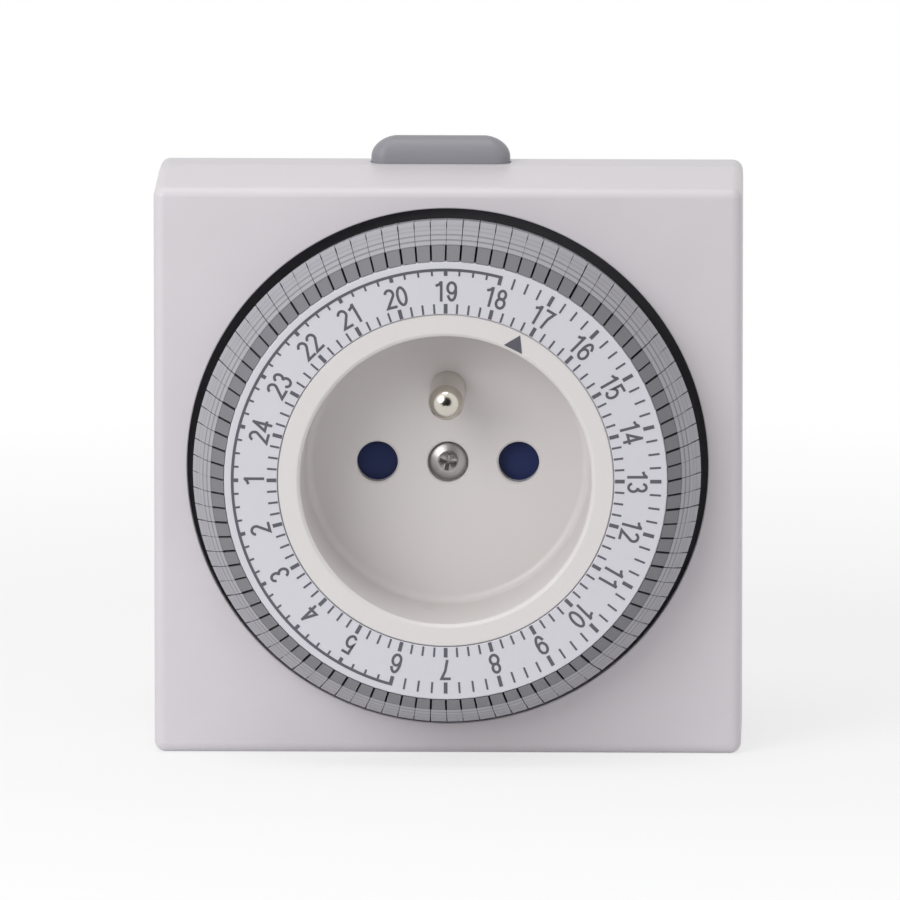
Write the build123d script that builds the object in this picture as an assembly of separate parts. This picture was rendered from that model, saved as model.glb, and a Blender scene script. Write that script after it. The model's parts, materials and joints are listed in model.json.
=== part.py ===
from build123d import *
from math import acos, atan2, copysign, cos, degrees, hypot, pi, radians, sin, tan
import os

# Mechanical 24 hour plug-in time switch, in millimetres.
# +X is right, +Z is up and the front faces -Y. The Y axis is the common axis of the plug, the
# socket and the dial, and y = 0 is the plug's face, between its two line pins.

# ---- Housing ---------------------------------------------------------------------------------
WIDTH = 79.4
TOP_Z, BOTTOM_Z = 37.8, -39.2                          # the dial stands a little above the middle
FACE_Y, PARTING_Y, BACK_Y = -45.0, -25.0, -17.0     # front face, parting line, rear wall's outside
WALL = 2.0
FITTED = 0.05                                          # gap round a piece that is set into another
CORNER_R, FRONT_EDGE_R, REAR_EDGE_R = 2.2, 1.8, 1.2
REAR_DRAFT = 0.3                                    # how far the rear half draws in on each side
OPENING_R = 34.9                                    # round opening that the dial stands in
SCREW_X, SCREW_Z = 34.2, 32.2                       # the four housing screws

# ---- Plug ------------------------------------------------------------------------------------
PLUG_R, PLUG_WALL, PLUG_FLANGE_R = 18.5, 2.4, 19.5
PIN_R, PIN_LENGTH, PIN_X = 2.4, 19.0, 9.5           # line pins, 19 apart
PIN_ROOT_R = 2.9                                    # the stretch that is held in the plug's body
EARTH_Z = 10.0                                      # earth pin and earth hole above the line pins
EARTH_HOLE_R = 2.7

# ---- Socket ----------------------------------------------------------------------------------
MOUTH_R, FLOOR_R, FLOOR_Y = 19.4, 19.2, -41.5
FLOOR_THICK = 2.0
LIVE_HOLE_R = 2.75
EARTH_PIN_LENGTH, EARTH_ROOT_R = 14.0, 2.2
MOUTH_Y = -56.5                                     # the well is 15 deep
RIM_R, RIM_Y = 22.3, -57.1
BARREL_R = 21.2                                     # journal that the dial turns on
SKIRT_Y = -31.0

# ---- Dial and tabs ---------------------------------------------------------------------------
DIAL_Y = -57.2                                      # front of the number ring
DIAL_INNER_R, DIAL_OUTER_R, DIAL_THICK = 22.45, 29.65, 1.3
HOURS, TABS_PER_HOUR = 24, 4
TAB_PITCH = 360.0 / (HOURS * TABS_PER_HOUR)
HOUR_ZERO_ANGLE = 165.0                             # where hour 0 stands, counted from +X towards +Z
TAB_GAP = 0.2
TAB_INNER_R, TAB_BROW_R, TAB_OUTER_R, TAB_BASE_R = 29.8, 32.1, 33.45, 34.15
STEP_R, STEP_Y = 0.45, 0.4                          # the grip steps round the tab's shoulder
TAB_FOOT_R = 35.0
COMB_Y, COMB_THICK = -41.4, 1.6                     # flange that the tabs' shanks pass through
SHANK_WIDTH, SHANK_INNER_R, SHANK_OUTER_R = 1.3, 30.2, 31.7

# ---- Gear train ------------------------------------------------------------------------------
RING_TEETH, RING_MODULE = 72, 0.8
PINION_TEETH, WHEEL_TEETH, WHEEL_MODULE = 12, 36, 0.5
GEAR_BACKLASH = 0.10
PRESSURE = radians(25)
ADDENDUM, DEDENDUM = 0.8, 1.1                       # stub teeth, in modules
DRIVE_ANGLE, REDUCTION_ANGLE, MOTOR_ANGLE = 225.0, -15.0, 12.0
RING_GEAR_Y, RING_GEAR_THICK = -31.7, 2.7
ARBOR_R, RUNNING = 0.8, 0.05
MOTOR_R, MOTOR_WALL, MOTOR_FRONT_Y, MOTOR_BACK_Y = 11.8, 0.8, -28.0, -20.3

# ---- Switch, lever and button ----------------------------------------------------------------
LEVER_X, LEVER_Z = 26.0, 27.0                       # the lever's pivot
NOSE_ANGLE = 65.0                                   # where the lever reads the tabs
LEAF_X = 27.0
BUTTON_X, BUTTON_Y = -2.3, -22.5
BUTTON_WIDTH, BUTTON_DEPTH, BUTTON_PROUD = 18.8, 6.6, 3.7
BUTTON_END_R, BUTTON_EDGE_R = 2.6, 2.2
METAL = 0.5                                         # thickness of the contact strips

inner_back_y = BACK_Y - WALL
inner_face_y = FACE_Y + WALL
inner_top_z = TOP_Z - WALL
floor_back_y = FLOOR_Y + FLOOR_THICK


def polar(radius, angle):
    """A place in the front view, at this radius and angle from the dial's axis."""
    return radius * cos(radians(angle)), radius * sin(radians(angle))


def ahead(start, distance, angle):
    """A place in the front view, this far from another one."""
    dx, dz = polar(distance, angle)
    return start[0] + dx, start[1] + dz


wheel_distance = WHEEL_MODULE * (PINION_TEETH + WHEEL_TEETH) / 2
drive_at = polar(RING_MODULE * (RING_TEETH + PINION_TEETH) / 2, DRIVE_ANGLE)
reduction_at = ahead(drive_at, wheel_distance, REDUCTION_ANGLE)
motor_at = ahead(reduction_at, wheel_distance, MOTOR_ANGLE)


# ---- Helpers ---------------------------------------------------------------------------------
def slab(sketch, back, front):
    """A front-view outline, solid from y = back forward to y = front."""
    return extrude(Plane.XZ.offset(-back) * sketch, back - front, dir=(0, -1, 0))


def disc(radius, back, front, at=(0, 0)):
    return slab(Pos(*at) * Circle(radius), back, front)


def tube(outer, inner, back, front, at=(0, 0)):
    return slab(Pos(*at) * (Circle(outer) - Circle(inner)), back, front)


def block(x, y, z):
    """A box from its lowest and highest x, y and z."""
    centre = [(low + high) / 2 for low, high in (x, y, z)]
    return Pos(*centre) * Box(*[high - low for low, high in (x, y, z)])


def turned(points):
    """A solid of revolution about the Y axis, from (radius, y) points."""
    return revolve(Plane.XY * Polygon(*points, align=None), Axis.Y)


def at_place(solid, place):
    return Pos(place[0], 0, place[1]) * solid


def around(solid, angle):
    """The same solid, turned about the dial's axis from +X towards +Z."""
    return Rot(0, -angle, 0) * solid


def coil_spring(radius, wire, turns, length):
    """A compression spring that stands on the origin along +Z, its fine wire drawn four-sided."""
    path = Helix(pitch=(length - wire) / turns, height=length - wire, radius=radius)
    section = Plane(origin=path @ 0, z_dir=path % 0) * RegularPolygon(wire / 2, 4)
    return Pos(0, 0, wire / 2) * sweep(section, path=path)


# ---- Gears -----------------------------------------------------------------------------------
def involute(cosine):
    angle = acos(cosine)
    return tan(angle) - angle


def gear_outline(teeth, module, tooth_at=0.0):
    """An involute gear's outline, with a tooth centred on the angle tooth_at in degrees."""
    pitch_r = module * teeth / 2
    base_r = pitch_r * cos(PRESSURE)
    root_r, tip_r = pitch_r - DEDENDUM * module, pitch_r + ADDENDUM * module
    flank_from = max(base_r, root_r)
    half_tooth = pi / (2 * teeth) - GEAR_BACKLASH / (4 * pitch_r) + involute(cos(PRESSURE))
    # a large gear's flanks are nearly straight, a pinion's need a point between root and tip
    radii = [flank_from, tip_r] if teeth > 20 else [flank_from, (flank_from + tip_r) / 2, tip_r]
    flank = [(r, half_tooth - involute(base_r / r)) for r in radii]
    if root_r < flank_from:
        flank.insert(0, (root_r, flank[0][1]))
    points = []
    for n in range(teeth):
        middle = radians(tooth_at) + 2 * pi * n / teeth
        both = [(r, middle - a) for r, a in flank] + [(r, middle + a) for r, a in reversed(flank)]
        points += [(r * cos(a), r * sin(a)) for r, a in both]
    return Polygon(*points, align=None)


def meshing(teeth, towards):
    """Where a gear has a tooth if it has a gap on the side that faces the angle towards."""
    return towards + 180.0 / teeth


# ---- Housing ---------------------------------------------------------------------------------
def case_form(inset=0.0):
    """The closed outer form, or the cavity when inset by the wall."""
    front_y, back_y = FACE_Y + inset, BACK_Y - inset
    corner_r = max(CORNER_R - inset, REAR_DRAFT + 0.4)
    outline = RectangleRounded(WIDTH - 2 * inset, TOP_Z - BOTTOM_Z - 2 * inset, corner_r)
    view = Pos(0, (TOP_Z + BOTTOM_Z) / 2) * outline
    front = slab(view, PARTING_Y, front_y)
    depth = back_y - PARTING_Y
    rearward = Plane(origin=(0, PARTING_Y, 0), x_dir=(-1, 0, 0), z_dir=(0, 1, 0))
    rear = extrude(rearward * view, depth, taper=degrees(atan2(REAR_DRAFT, depth)))
    if not inset:
        front = fillet(front.faces().sort_by(Axis.Y)[0].edges(), FRONT_EDGE_R)
        rear = fillet(rear.faces().sort_by(Axis.Y)[-1].edges(), REAR_EDGE_R)
    return front + rear


def button_slot():
    """The hole in the top for the override button, shared by the two halves."""
    x = BUTTON_WIDTH / 2 + 0.25
    y = BUTTON_DEPTH / 2 + 0.2
    return block((BUTTON_X - x, BUTTON_X + x), (BUTTON_Y - y, BUTTON_Y + y), (inner_top_z - 1, TOP_Z + 1))


def screw_places():
    return [(x * SCREW_X, z * SCREW_Z) for x in (-1, 1) for z in (-1, 1)]


def front_housing(shell):
    half = shell & block((-60, 60), (FACE_Y - 1, PARTING_Y), (-60, 60))
    half += Part() + [disc(2.8, PARTING_Y, inner_face_y - 0.5, at) for at in screw_places()]
    half -= Part() + [disc(1.1, PARTING_Y, -38, at) for at in screw_places()]
    half -= disc(OPENING_R, -40, FACE_Y - 1)
    return half - button_slot()


def rear_housing(shell):
    """The rear half, open for the plug, with posts for the socket and seats for the gears' arbor."""
    half = shell & block((-60, 60), (PARTING_Y, BACK_Y + 1), (-60, 60))
    half += Part() + [disc(3.4, inner_back_y + 0.5, PARTING_Y, at) for at in screw_places()]
    half += disc(2.1, inner_back_y + 0.5, -29.9, drive_at)
    half += disc(2.0, inner_back_y + 0.5, -28.0, (LEVER_X, LEVER_Z))
    for angle in (90, 205, 335):
        half += around(block((19.6, 21.2), (SKIRT_Y, inner_back_y + 0.5), (-2.2, 2.2)), angle)
    half += block((BUTTON_X - 4, BUTTON_X + 4), (-24.6, inner_back_y + 0.5), (27.0, 28.6))
    for x, z in screw_places():
        half -= disc(3.0, BACK_Y + 1, -21, (x, z)) + disc(1.4, -20, PARTING_Y - 1, (x, z))
    half -= disc(PLUG_R + FITTED, BACK_Y + 1, inner_back_y - 1)
    half -= disc(ARBOR_R, -21, -31, drive_at) + disc(1.0, -21, -29, (LEVER_X, LEVER_Z))
    return half - button_slot()


def plug_insert():
    """The plug's round body, with a flange in the case and towers for the pins and a screw."""
    flange_front = inner_back_y - 1.2
    body = disc(PLUG_R, 0, flange_front) + disc(PLUG_FLANGE_R, inner_back_y, flange_front)
    body -= disc(PLUG_R - PLUG_WALL, -PLUG_WALL, flange_front - 1)
    body += Part() + [disc(3.8, -2, inner_back_y, (s * PIN_X, 0)) for s in (-1, 1)]
    body += disc(4.4, -2, inner_back_y, (0, EARTH_Z))
    body += disc(3.2, -2, -36.5)
    for s in (-1, 1):
        body -= disc(PIN_ROOT_R, 1, inner_back_y - 1, (s * PIN_X, 0))
        body -= block((s * PLUG_R - PLUG_WALL, s * PLUG_R + PLUG_WALL), (-14, 1), (-2.6, 2.6))
    # slots for the earth clips and for the bridge and strap where they cross the flange
    clip_slot = block((-2.7, 2.7), (-20, 1), (17.1, 20))
    clip_slot += block((-3.1, 3.1), (-21, inner_back_y), (14.5, 20))
    body -= clip_slot + Rot(0, 180, 0) * clip_slot
    body -= disc(EARTH_HOLE_R, 1, -4, (0, EARTH_Z)) + disc(3.3, -2.4, -20, (0, EARTH_Z))
    return body - disc(1.5, -26, -37)


def housing_screws():
    return [disc(2.7, -19.2, -21, at) + disc(1.05, -21, -36, at) for at in screw_places()]


# ---- Socket ----------------------------------------------------------------------------------
def socket_insert():
    """The round well with its rim, the journal round it and the guides behind its floor."""
    body = turned([
        (0, FLOOR_Y), (FLOOR_R, FLOOR_Y), (MOUTH_R, MOUTH_Y + 0.4), (MOUTH_R + 0.4, MOUTH_Y - 0.1),
        (RIM_R - 0.25, RIM_Y), (RIM_R, RIM_Y + 0.25), (RIM_R, -56.05), (BARREL_R, -56.05),
        (BARREL_R, SKIRT_Y), (BARREL_R - 1.6, SKIRT_Y), (BARREL_R - 1.6, floor_back_y),
        (0, floor_back_y),
    ])
    body += disc(3.0, floor_back_y + 0.1 + 2.9, floor_back_y)
    for s in (-1, 1):
        body += block((s * 14.3 - 0.6, s * 14.3 + 0.6), (floor_back_y, -36.8), (-13.5, 6))
        body -= disc(LIVE_HOLE_R, floor_back_y + 1, FLOOR_Y - 1, (s * PIN_X, 0))
    body += block((-2.5, 2.5), (floor_back_y, -36.8), (-18.3, -17.2))
    body -= disc(EARTH_ROOT_R + FITTED, floor_back_y + 1, FLOOR_Y - 1, (0, EARTH_Z))
    return body - disc(1.6, -35, -42) - disc(2.75, FLOOR_Y + 1.4, -42)


def socket_screw():
    head = turned([(0, -40.1), (2.55, -40.1), (2.55, -40.7), (1.7, -41.15), (0, -41.25)])
    bar_x = block((-1.5, 1.5), (-42, -40.55), (-0.3, 0.3))
    cross = bar_x + block((-0.3, 0.3), (-42, -40.55), (-1.5, 1.5))
    return head + disc(1.5, -27, -40.2) - cross


def shutter_cover():
    plate = disc(19.4, -36.0, -36.7) - disc(3.4, -35, -38) - disc(3.5, -35, -38, (0, EARTH_Z))
    plate -= block((-3.2, 3.2), (-38, -35), (16.9, 20))
    for s in (-1, 1):
        plate -= disc(2.95, -35, -38, (s * PIN_X, 0))
    return plate


def shutter():
    outline = Pos(0, -1.5) * Rectangle(26.8, 11.0) - Pos(0, 2) * Rectangle(6.8, 13.2)
    plate = slab(outline, -36.9, -39.3)
    ramp = Plane.YZ * Polygon((-39.4, 4.1), (-39.4, 1.8), (-37.4, 4.1), align=None)
    return plate - extrude(ramp, 20, both=True)


def shutter_spring():
    return Pos(0, -38.05, -17.2) * coil_spring(1.1, 0.35, 5, 17.2 - 7.0)


def earth_pin():
    tip_y = FLOOR_Y - EARTH_PIN_LENGTH
    return at_place(turned([
        (0, tip_y), (0.9, tip_y + 0.15), (1.75, tip_y + 0.75), (2.2, tip_y + 1.7), (PIN_R, tip_y + 3),
        (PIN_R, FLOOR_Y), (EARTH_ROOT_R, FLOOR_Y), (EARTH_ROOT_R, floor_back_y), (3.2, floor_back_y),
        (3.2, -38.7), (1.8, -38.7), (1.8, -37.3), (0, -37.3),
    ]), (0, EARTH_Z))


# ---- Earth path ------------------------------------------------------------------------------
def earth_strap():
    """The strip that bends from the socket's earth pin back to the plug's earth bridge."""
    top_z, thick = 17.9, 0.8
    outline = Polygon(
        (-38.7, EARTH_Z - 2.6), (-38.7, top_z), (-19.8, top_z), (-19.8, EARTH_Z + 4.6),
        (-19.8 - thick, EARTH_Z + 4.6), (-19.8 - thick, top_z - thick), (-38.7 + thick, top_z - thick),
        (-38.7 + thick, EARTH_Z - 2.6), align=None,
    )
    return extrude(Plane.YZ * outline, 3, both=True) - disc(1.8, -37, -39, (0, EARTH_Z))


def earth_bridge():
    """The plug's earth spring: a flat bridge with an eye, bent into the two side clips."""
    flat = Rectangle(5, 35.6) + Circle(5.6) + Pos(0, EARTH_Z) * Circle(4.6)
    flat -= Circle(3.3) + Pos(0, EARTH_Z) * Circle(2.6)
    bridge = slab(flat, inner_back_y, -19.8)
    outline = Polygon(
        (-19.8, 17.2), (-3.2, 17.2), (-2, 17.6), (-3.2, 18.3), (-9, 18.6), (-16, 17.8), (-19.8, 17.8),
        align=None,
    )
    clip = extrude(Plane.YZ * outline, 2.5, both=True)
    return bridge + clip + Rot(0, 180, 0) * clip


def earth_receptacle():
    """The sprung sleeve behind the plug's earth hole, slit so that it can grip."""
    sleeve = tube(3.3, 2.5, -4.4, inner_back_y, (0, EARTH_Z))
    return sleeve - block((-0.3, 0.3), (-15, -4), (EARTH_Z - 4, EARTH_Z + 4))


# ---- Line path -------------------------------------------------------------------------------
def line_pin(x):
    """A plug pin with a rounded tip, a collar behind the wall and a rivet end."""
    return at_place(turned([
        (0, PIN_LENGTH), (1.3, PIN_LENGTH - 0.3), (2.1, PIN_LENGTH - 1.2), (PIN_R, PIN_LENGTH - 2.6),
        (PIN_R, 0), (PIN_ROOT_R, 0), (PIN_ROOT_R, inner_back_y), (3.2, inner_back_y), (3.2, -20.9),
        (1.2, -20.9), (1.2, -21.9), (0, -21.9),
    ]), (x, 0))


def jaws(side):
    """The two sprung blades that grip a plug's pin, joined by a web on the outer side."""
    x0, x1 = side * 6.6, side * 13.3
    web = block(sorted((x1, x1 + side * METAL)), (-35.4, -25.5), (-2.95, 2.95))
    blade = block(sorted((x0, x1)), (-35.4, -25.5), (2.45, 2.95))
    return web + blade + mirror(blade, Plane.XY)


def neutral_contact():
    foot = block((-13.8, -6.9), (-21.4, -20.9), (-2.5, 2.5))
    tail = block((-13.8, -13.3), (-25.5, -20.9), (-2.5, 2.5))
    return jaws(-1) + foot + tail - disc(1.2, -20, -23, (-PIN_X, 0))


def contact_point(x, length):
    """A round switch contact that stands this far out to the right from x, or to the left."""
    return Pos(x, -29.4, 15) * extrude(Plane.YZ * Circle(1.1), abs(length), dir=(copysign(1, length), 0, 0))


def live_contact():
    """The live jaws, with the strip that carries the switch's fixed contact."""
    strip = slab(Pos(14.8, 7.5) * Rectangle(3.0, 18.0), -28.3, -28.8)
    strip += slab(Pos(19.6, 15) * Rectangle(12.6, 3.0), -28.3, -28.8)
    blade = block((25.4, 25.9), (-30.6, -27.2), (13.3, 16.7))
    return jaws(1) + strip + blade + contact_point(25.9, 0.4)


def live_bar():
    outline = Pos(17.6, 0) * Rectangle(21.4, 3.4) + Pos(26.8, 3.8) * Rectangle(3.0, 4.2)
    return slab(outline, -20.9, -20.9 - METAL) - disc(1.2, -20, -23, (PIN_X, 0))


def contact_leaf():
    outline = Polygon(
        (-30.8, 7.5), (-30.8, 17.4), (-27.4, 17.4), (-27.4, 7.5), (-21.4, 5.6), (-21.4, 3.6), (-30.8, 3.6),
        align=None,
    )
    leaf = extrude(Plane.YZ.offset(LEAF_X) * outline, 0.3, dir=(1, 0, 0))
    return leaf + contact_point(LEAF_X, -0.3)


def switch_base():
    """The block that clamps the leaf in a slit and stands back from the fixed contact."""
    base = block((24.4, 30.2), (-31.2, inner_back_y), (7.6, 12.0))
    slit = block((LEAF_X - 0.1, LEAF_X + 0.4), (-32, -22.0), (7, 13))
    return base - slit - block((24, 26.4), (-32, -26), (7, 13))


# ---- Lever and button ------------------------------------------------------------------------
def bar(start, end, width):
    """A straight arm with round ends, in the front view."""
    length = hypot(end[0] - start[0], end[1] - start[1])
    middle = ((start[0] + end[0]) / 2, (start[1] + end[1]) / 2)
    turn = degrees(atan2(end[1] - start[1], end[0] - start[0]))
    return Pos(*middle) * Rot(0, 0, turn) * SlotCenterToCenter(length, width)


def switch_lever():
    """The bell crank that reads the tabs with its nose and moves the contact leaf."""
    pivot, nose_root = (LEVER_X, LEVER_Z), polar(36.2, NOSE_ANGLE - 1.5)
    arms = bar(pivot, nose_root, 2.4) + bar(pivot, (30.5, 15.0), 2.0)
    lever = slab(arms, -29.2, -31.2) + disc(2.3, -28.2, -32.4, pivot)
    finger = Polygon(
        (35.15, -42.4), (36.4, -42.4), (37.2, -31.2), (37.2, -29.2), (34.6, -29.2), (33.65, -34.4),
        (35.15, -37.4), align=None,
    )
    lever += around(extrude(Plane.XY * finger, 1.1, both=True), NOSE_ANGLE)
    return lever - disc(1.0 + RUNNING, -27, -34, pivot)


def lever_pin():
    return disc(1.0, -21, -33.0, (LEVER_X, LEVER_Z)) + disc(1.5, -32.5, -33.0, (LEVER_X, LEVER_Z))


def lever_spring():
    return Pos(18.6, -30.2, 32.6) * coil_spring(1.2, 0.35, 3, inner_top_z - 32.65)


def override_button():
    """The push button on top, with its retaining flange and the leg that reaches the switch."""
    flange_top = inner_top_z - 0.3
    cap = block(
        (BUTTON_X - BUTTON_WIDTH / 2, BUTTON_X + BUTTON_WIDTH / 2),
        (BUTTON_Y - BUTTON_DEPTH / 2, BUTTON_Y + BUTTON_DEPTH / 2), (flange_top, TOP_Z + BUTTON_PROUD),
    )
    cap = fillet(cap.edges().filter_by(Axis.Z), BUTTON_END_R)
    cap = fillet(cap.edges().group_by(Axis.Z)[-1], BUTTON_EDGE_R)
    flange = block((-12.9, 8.3), (-27.4, -20.6), (flange_top - 0.9, flange_top))
    beam = block((-6, 30.3), (-27.0, -24.9), (flange_top - 3.0, flange_top - 0.9))
    leg = block((28.3, 30.3), (-27.0, -24.9), (20.4, flange_top - 2.0))
    wedge = Polygon(
        (28.3, 22.0), (27.6, 21.0), (27.6, 19.0), (28.6, 18.0), (30.3, 18.0), (30.3, 22.0), align=None)
    return cap + flange + beam + leg + slab(wedge, -24.9, -29.0)


def button_spring():
    return Pos(BUTTON_X, -22.6, 28.6) * coil_spring(1.5, 0.45, 4, inner_top_z - 1.2 - 28.6)


# ---- Motor and gears -------------------------------------------------------------------------
def motor_can():
    can = disc(MOTOR_R, MOTOR_BACK_Y, MOTOR_FRONT_Y, motor_at)
    can -= disc(MOTOR_R - MOTOR_WALL, MOTOR_BACK_Y - MOTOR_WALL, MOTOR_FRONT_Y + MOTOR_WALL, motor_at)
    can += disc(2.6, MOTOR_FRONT_Y, MOTOR_FRONT_Y - 0.2, motor_at)
    can -= disc(ARBOR_R + RUNNING, MOTOR_FRONT_Y + 1, MOTOR_FRONT_Y - 1, motor_at)
    return can - disc(ARBOR_R, MOTOR_FRONT_Y + 1, MOTOR_FRONT_Y - 1, reduction_at)


def motor_coil():
    cheeks = tube(10.8, 5.9, -21.3, -21.9, motor_at) + tube(10.8, 5.9, -26.4, -27.0, motor_at)
    return cheeks + tube(10.3, 5.9, -21.8, -26.5, motor_at)


def motor_rotor():
    """The magnet on its shaft, which carries the output pinion in front of the can."""
    pinion = gear_outline(PINION_TEETH, WHEEL_MODULE, meshing(PINION_TEETH, MOTOR_ANGLE + 180))
    rotor = disc(5.4, -21.8, -26.2) + disc(ARBOR_R, -21.4, -29.9) + slab(pinion, -28.4, -29.9)
    return at_place(rotor, motor_at)


def drive_gear():
    """The pinion that meshes with the dial's ring gear, moulded with its wheel."""
    pinion = gear_outline(PINION_TEETH, RING_MODULE, meshing(PINION_TEETH, DRIVE_ANGLE + 180))
    wheel = gear_outline(WHEEL_TEETH, WHEEL_MODULE, REDUCTION_ANGLE)
    gear = slab(pinion, -31.2, -34.2) + slab(wheel, -30.2, -31.3) - disc(ARBOR_R + RUNNING, -29, -35)
    return at_place(gear, drive_at)


def reduction_gear():
    pinion = gear_outline(PINION_TEETH, WHEEL_MODULE, meshing(PINION_TEETH, REDUCTION_ANGLE + 180))
    wheel = gear_outline(WHEEL_TEETH, WHEEL_MODULE, MOTOR_ANGLE)
    gear = slab(pinion, -29.6, -31.3) + slab(wheel, -28.7, -29.7) - disc(ARBOR_R + RUNNING, -28, -32)
    return at_place(gear, reduction_at)


def gear_arbors():
    return [disc(ARBOR_R, -22, -34.5, drive_at), disc(ARBOR_R, -27.2, -31.5, reduction_at)]


# ---- Dial and tabs ---------------------------------------------------------------------------
def number_dial():
    back = DIAL_Y + DIAL_THICK
    return turned([
        (DIAL_INNER_R, back), (DIAL_INNER_R, DIAL_Y), (DIAL_OUTER_R - 0.3, DIAL_Y),
        (DIAL_OUTER_R, DIAL_Y + 0.3), (DIAL_OUTER_R, back),
    ])


def program_wheel():
    """The dial's carrier: hub, face, comb flange for the tabs and the ring gear behind."""
    face_y = DIAL_Y + DIAL_THICK
    gear_front = RING_GEAR_Y - RING_GEAR_THICK
    comb_back = COMB_Y + COMB_THICK
    bore, hub_r, guide_r = BARREL_R + RUNNING, 22.75, 28.3
    wheel = turned([
        (bore, face_y), (29.55, face_y), (29.55, COMB_Y), (35.1, COMB_Y), (35.1, comb_back),
        (guide_r, comb_back), (guide_r, face_y + 1.2), (hub_r, face_y + 1.2), (hub_r, gear_front),
        (27.6, gear_front), (27.6, RING_GEAR_Y), (bore, RING_GEAR_Y),
    ])
    teeth = gear_outline(RING_TEETH, RING_MODULE, DRIVE_ANGLE) - Circle(27.0)
    windows = Sketch() + [
        Rot(0, 0, tab_angle(n)) * Pos((SHANK_INNER_R + SHANK_OUTER_R) / 2, 0)
        * Rectangle(SHANK_OUTER_R - SHANK_INNER_R + 0.3, SHANK_WIDTH + 0.25)
        for n in range(HOURS * TABS_PER_HOUR)
    ]
    return wheel + slab(teeth, RING_GEAR_Y, gear_front) - slab(windows, comb_back + 1, COMB_Y - 1)


def tab_angle(n):
    """The middle of tab n, counted from hour 0 and counter-clockwise as seen from the front."""
    return HOUR_ZERO_ANGLE + (n + 0.5) * TAB_PITCH


def program_tab():
    """One sliding tab on the +X side: stepped head, shank through the comb and hooked foot."""
    brow_y, head_back = -54.3, FACE_Y + 0.4
    head = Polygon(
        (TAB_INNER_R, DIAL_Y - 0.2), (TAB_BROW_R, brow_y), (TAB_BROW_R + STEP_R, brow_y),
        (TAB_BROW_R + STEP_R, brow_y + STEP_Y), (TAB_BROW_R + 2 * STEP_R, brow_y + STEP_Y),
        (TAB_BROW_R + 2 * STEP_R, brow_y + 2 * STEP_Y), (TAB_OUTER_R, brow_y + 2 * STEP_Y),
        (TAB_BASE_R, head_back), (TAB_INNER_R, head_back), align=None,
    )
    foot_y = COMB_Y + COMB_THICK + 0.4
    foot_reach, shank_depth = TAB_FOOT_R - SHANK_INNER_R, SHANK_OUTER_R - SHANK_INNER_R
    foot = Pos(SHANK_INNER_R + foot_reach / 2, foot_y + 0.7) * Rectangle(foot_reach, 1.4)
    shank = Pos(SHANK_INNER_R + shank_depth / 2, (head_back + foot_y) / 2) * Rectangle(
        shank_depth, foot_y - head_back + 0.4)
    edge = 40 * tan(radians(TAB_PITCH / 2))
    inset = TAB_GAP / 2 / sin(radians(TAB_PITCH / 2))
    wedge = slab(Polygon((inset, 0), (inset + 40, -edge), (inset + 40, edge), align=None), 0, -60)
    wide = extrude(Plane.XY * (head + foot), 3, both=True) & wedge
    return wide + extrude(Plane.XY * shank, SHANK_WIDTH / 2, both=True)


def hour_tabs(tab, hour):
    """The four tabs of one hour."""
    return [around(tab, tab_angle(hour * TABS_PER_HOUR + n)) for n in range(TABS_PER_HOUR)]


def save(name, shape):
    solids = shape if isinstance(shape, list) else [shape]
    shape = Compound(children=solids) if len(solids) > 1 else solids[0]
    export_step(shape, f"parts/{name}.step")


os.makedirs("parts", exist_ok=True)
case = case_form() - case_form(WALL)
save("front_housing", front_housing(case))
save("rear_housing", rear_housing(case))
for piece in (
    housing_screws, plug_insert, socket_insert, socket_screw, shutter_cover, shutter, shutter_spring,
    earth_pin, earth_strap, earth_bridge, earth_receptacle, neutral_contact, live_contact, live_bar,
    contact_leaf, switch_base, switch_lever, lever_pin, lever_spring, override_button, button_spring,
    motor_can, motor_coil, motor_rotor, drive_gear, reduction_gear, gear_arbors, number_dial,
    program_wheel,
):
    save(piece.__name__, piece())
save("live_pin", line_pin(PIN_X))
save("neutral_pin", line_pin(-PIN_X))
one_tab = program_tab()
for hour in range(HOURS):
    save(f"tabs_hour_{hour + 1:02d}", hour_tabs(one_tab, hour))
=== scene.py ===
import json
import logging
from dataclasses import dataclass
from enum import Enum
from math import acos, atan2, cos, pi, radians, sin, tan
from typing import Iterable, Sequence

import bmesh
import bpy
from mathutils import Matrix, Vector

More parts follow.
